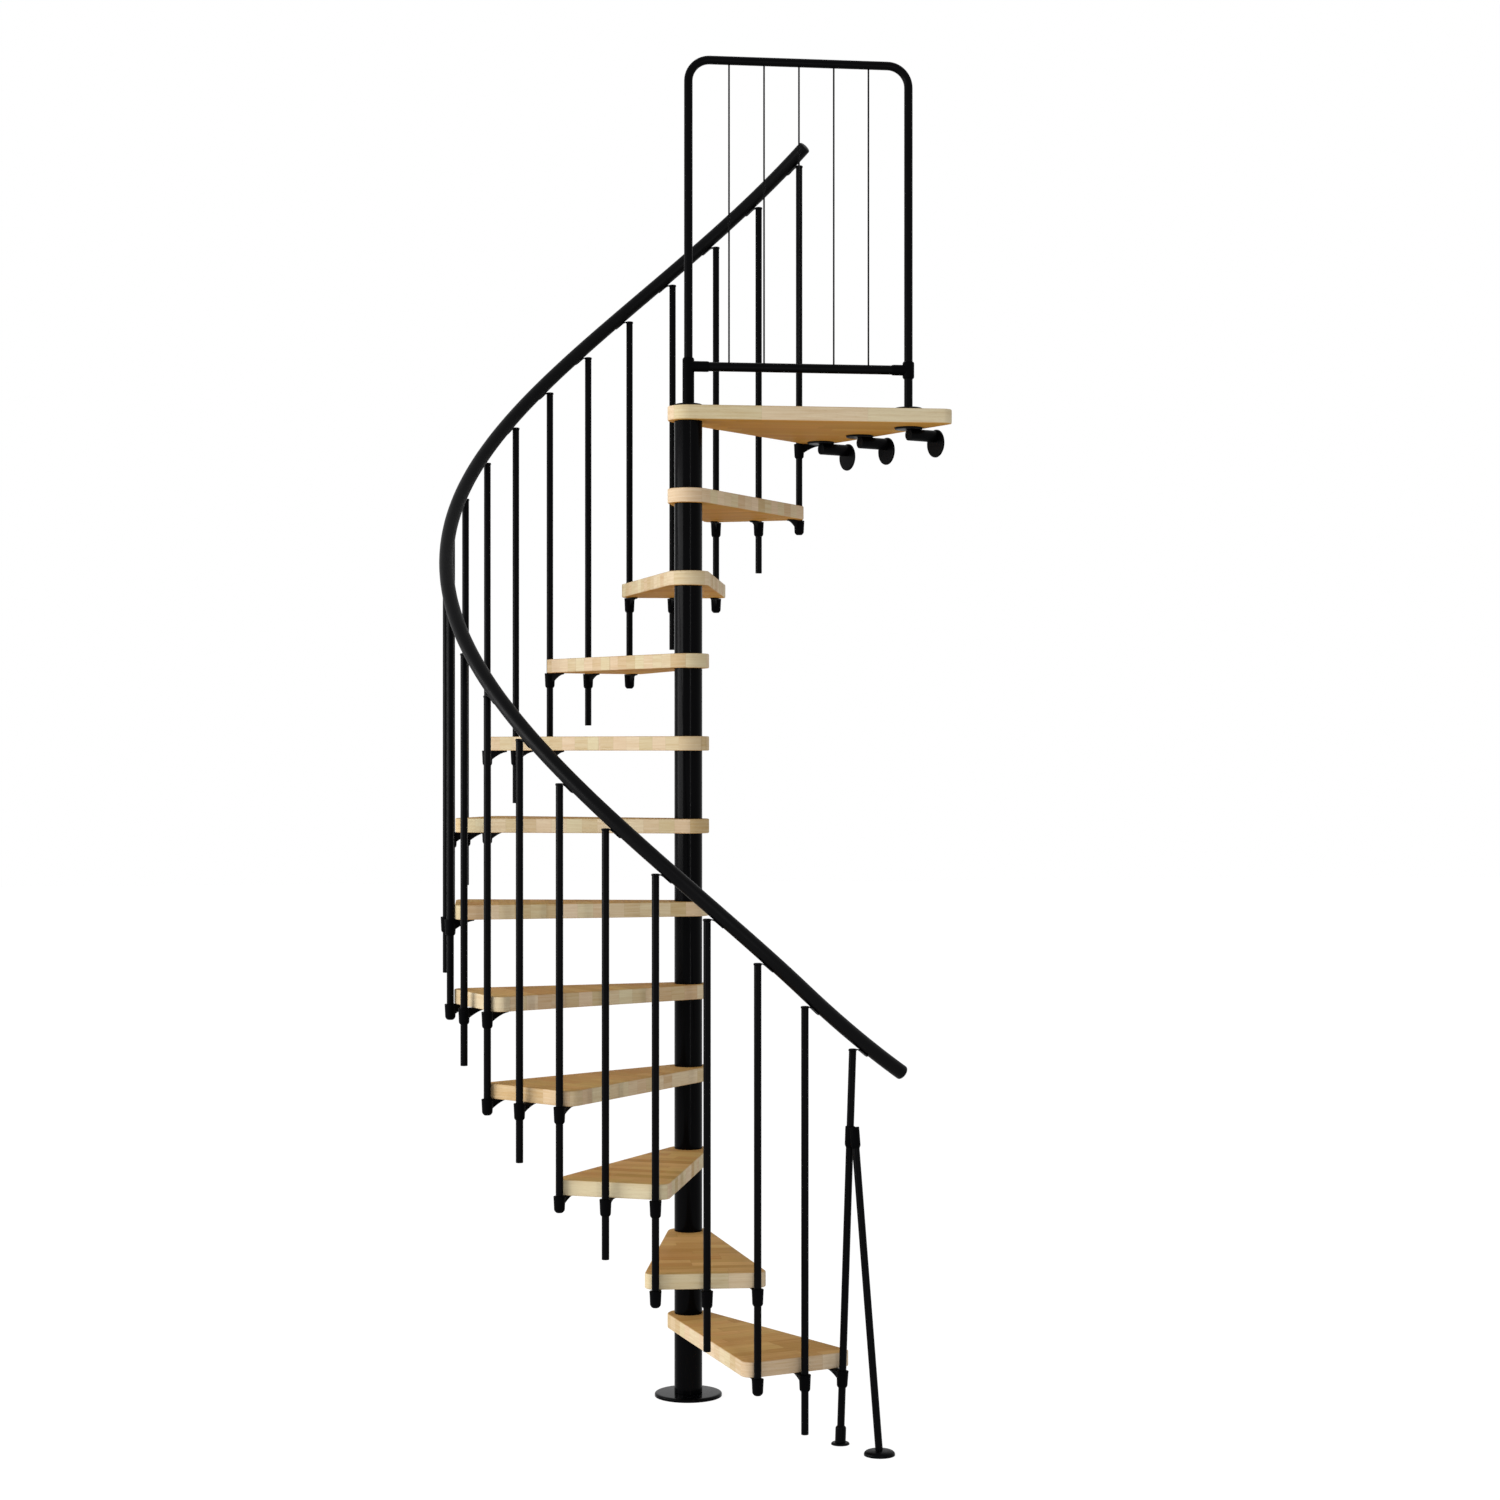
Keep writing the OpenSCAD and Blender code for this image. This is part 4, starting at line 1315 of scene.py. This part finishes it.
@dataclass
class Studio:
    """Pale floor, soft light and the camera at the photograph's place."""

    camera_at: Place = (-0.8984, -7.7868, 1.8016)
    camera_turn: float = -7.84
    focal_px: float = 2806.7
    image_px: float = 1500.0
    fill: float = 0.6
    floor_glow: float = 1.14
    floor_share: float = 0.8
    aim: Place = (0.0, 0.0, 1.8)
    key_at: Place = (-5.6, -1.0, 2.2)
    key_size: Pair = (6.0, 1.8)
    key_power: float = 330.0
    strip_at: Place = (1.15, -6.4, 1.8)
    strip_size: Pair = (0.1, 3.6)
    strip_power: float = 48.0
    floor_half: float = 30.0
    floor_tone: Colour = (0.9, 0.9, 0.9, 1)
    floor_rough: float = 0.9
    sensor: float = 36.0
    far: float = 100.0

    def camera(self) -> None:
        """Level camera; the lens is the sensor's width times focal length over image width."""
        data = bpy.data.cameras.new("view_camera")
        data.sensor_width = self.sensor
        data.lens = self.sensor * self.focal_px / self.image_px
        data.clip_end = self.far
        camera = bpy.data.objects.new("view_camera", data)
        camera.location = self.camera_at
        camera.rotation_euler = (math.pi / 2, 0.0, math.radians(self.camera_turn))
        bpy.context.scene.collection.objects.link(camera)
        bpy.context.scene.camera = camera

    def lamp(self, name: str, place: Place, aim: Place, size: Pair, power: float) -> None:
        """Soft light of a width and a height at a place, turned to an aim.

        Args:
            name: Of the lamp.
            place: Where it stands.
            aim: What it is turned to.
            size: Its width and height.
            power: In watts.
        """
        data = bpy.data.lights.new(name, "AREA")
        data.shape = "RECTANGLE"
        data.size, data.size_y = size
        data.energy = power
        lamp = bpy.data.objects.new(name, data)
        lamp.location = place
        way = np.array(aim) - np.array(place)
        level = math.hypot(way[0], way[1])
        lamp.rotation_euler = (math.pi / 2 + math.atan2(way[2], level), 0.0, math.atan2(-way[0], way[1]))
        bpy.context.scene.collection.objects.link(lamp)

    def world(self) -> None:
        """White to the camera, in reflections and through glass; a soft fill for everything else.

        Strength is the fill plus what is missing to one, times the share of rays that show the background.
        """
        world = bpy.data.worlds.new("studio_white")
        bpy.context.scene.world = world
        world.use_nodes = True
        shade = Graph(world.node_tree)
        back = world.node_tree.nodes["Background"]
        back.inputs["Color"].default_value = (1, 1, 1, 1)
        strength = shade.span(self.shows(shade), 0.0, 1.0, self.fill, 1.0)
        world.node_tree.links.new(strength, back.inputs["Strength"])

    def shows(self, shade: Graph) -> bpy.types.NodeSocket:
        """Share of rays that show the background itself: camera, glossy and transmission rays.

        Args:
            shade: Node tree that the value is made in.

        Returns:
            One for those rays and zero for the others.
        """
        path = shade.node("ShaderNodeLightPath")
        bounced = shade.math("MAXIMUM", path.outputs["Is Glossy Ray"], path.outputs["Is Transmission Ray"])
        return shade.math("MAXIMUM", path.outputs["Is Camera Ray"], bounced)

    def floor(self) -> None:
        """Wide floor that shows nearly white and keeps a soft shadow."""
        half = self.floor_half
        mesh = bpy.data.meshes.new("studio_floor")
        mesh.from_pydata([(-half, -half, 0), (half, -half, 0), (half, half, 0), (-half, half, 0)], [], [(0, 1, 2, 3)])
        shade = Shader("pale_floor")
        shade.surface.inputs["Base Color"].default_value = self.floor_tone
        shade.surface.inputs["Roughness"].default_value = self.floor_rough
        shade.surface.inputs["Specular IOR Level"].default_value = 0.0
        glow = shade.node("ShaderNodeEmission", {"Color": (1, 1, 1, 1), "Strength": self.floor_glow})
        share = shade.math("MULTIPLY", self.shows(shade), self.floor_share)
        mixed = shade.node("ShaderNodeMixShader", {0: share, 1: shade.surface.outputs[0], 2: glow.outputs[0]})
        shade.tree.links.new(mixed.outputs[0], shade.tree.nodes["Material Output"].inputs["Surface"])
        mesh.materials.append(shade.material)
        floor = bpy.data.objects.new("studio_floor", mesh)
        bpy.context.scene.collection.objects.link(floor)

    def build(self) -> None:
        """Sets up the view, the light and the floor."""
        bpy.context.scene.view_settings.view_transform = "Standard"
        self.world()
        self.floor()
        self.lamp("key_softbox", self.key_at, self.aim, self.key_size, self.key_power)
        self.lamp("strip_softbox", self.strip_at, self.aim, self.strip_size, self.strip_power)
        self.camera()


def main() -> None:
    """Builds the stair's sub-assemblies in order, then the studio."""
    logging.basicConfig(level=logging.INFO, format="%(message)s")
    shared = Layout(), finishes_by_slot()
    newel = Newel(*shared)
    for part in (Column(*shared), Boards(*shared), Handrail(*shared), Balusters(*shared), newel,
                 Brackets(*shared, newel), LandingRail(*shared), WallBrackets(*shared)):
        log.info("building %s", type(part).__name__)
        part.build()
    Studio().build()


if __name__ == "__main__":
    main()
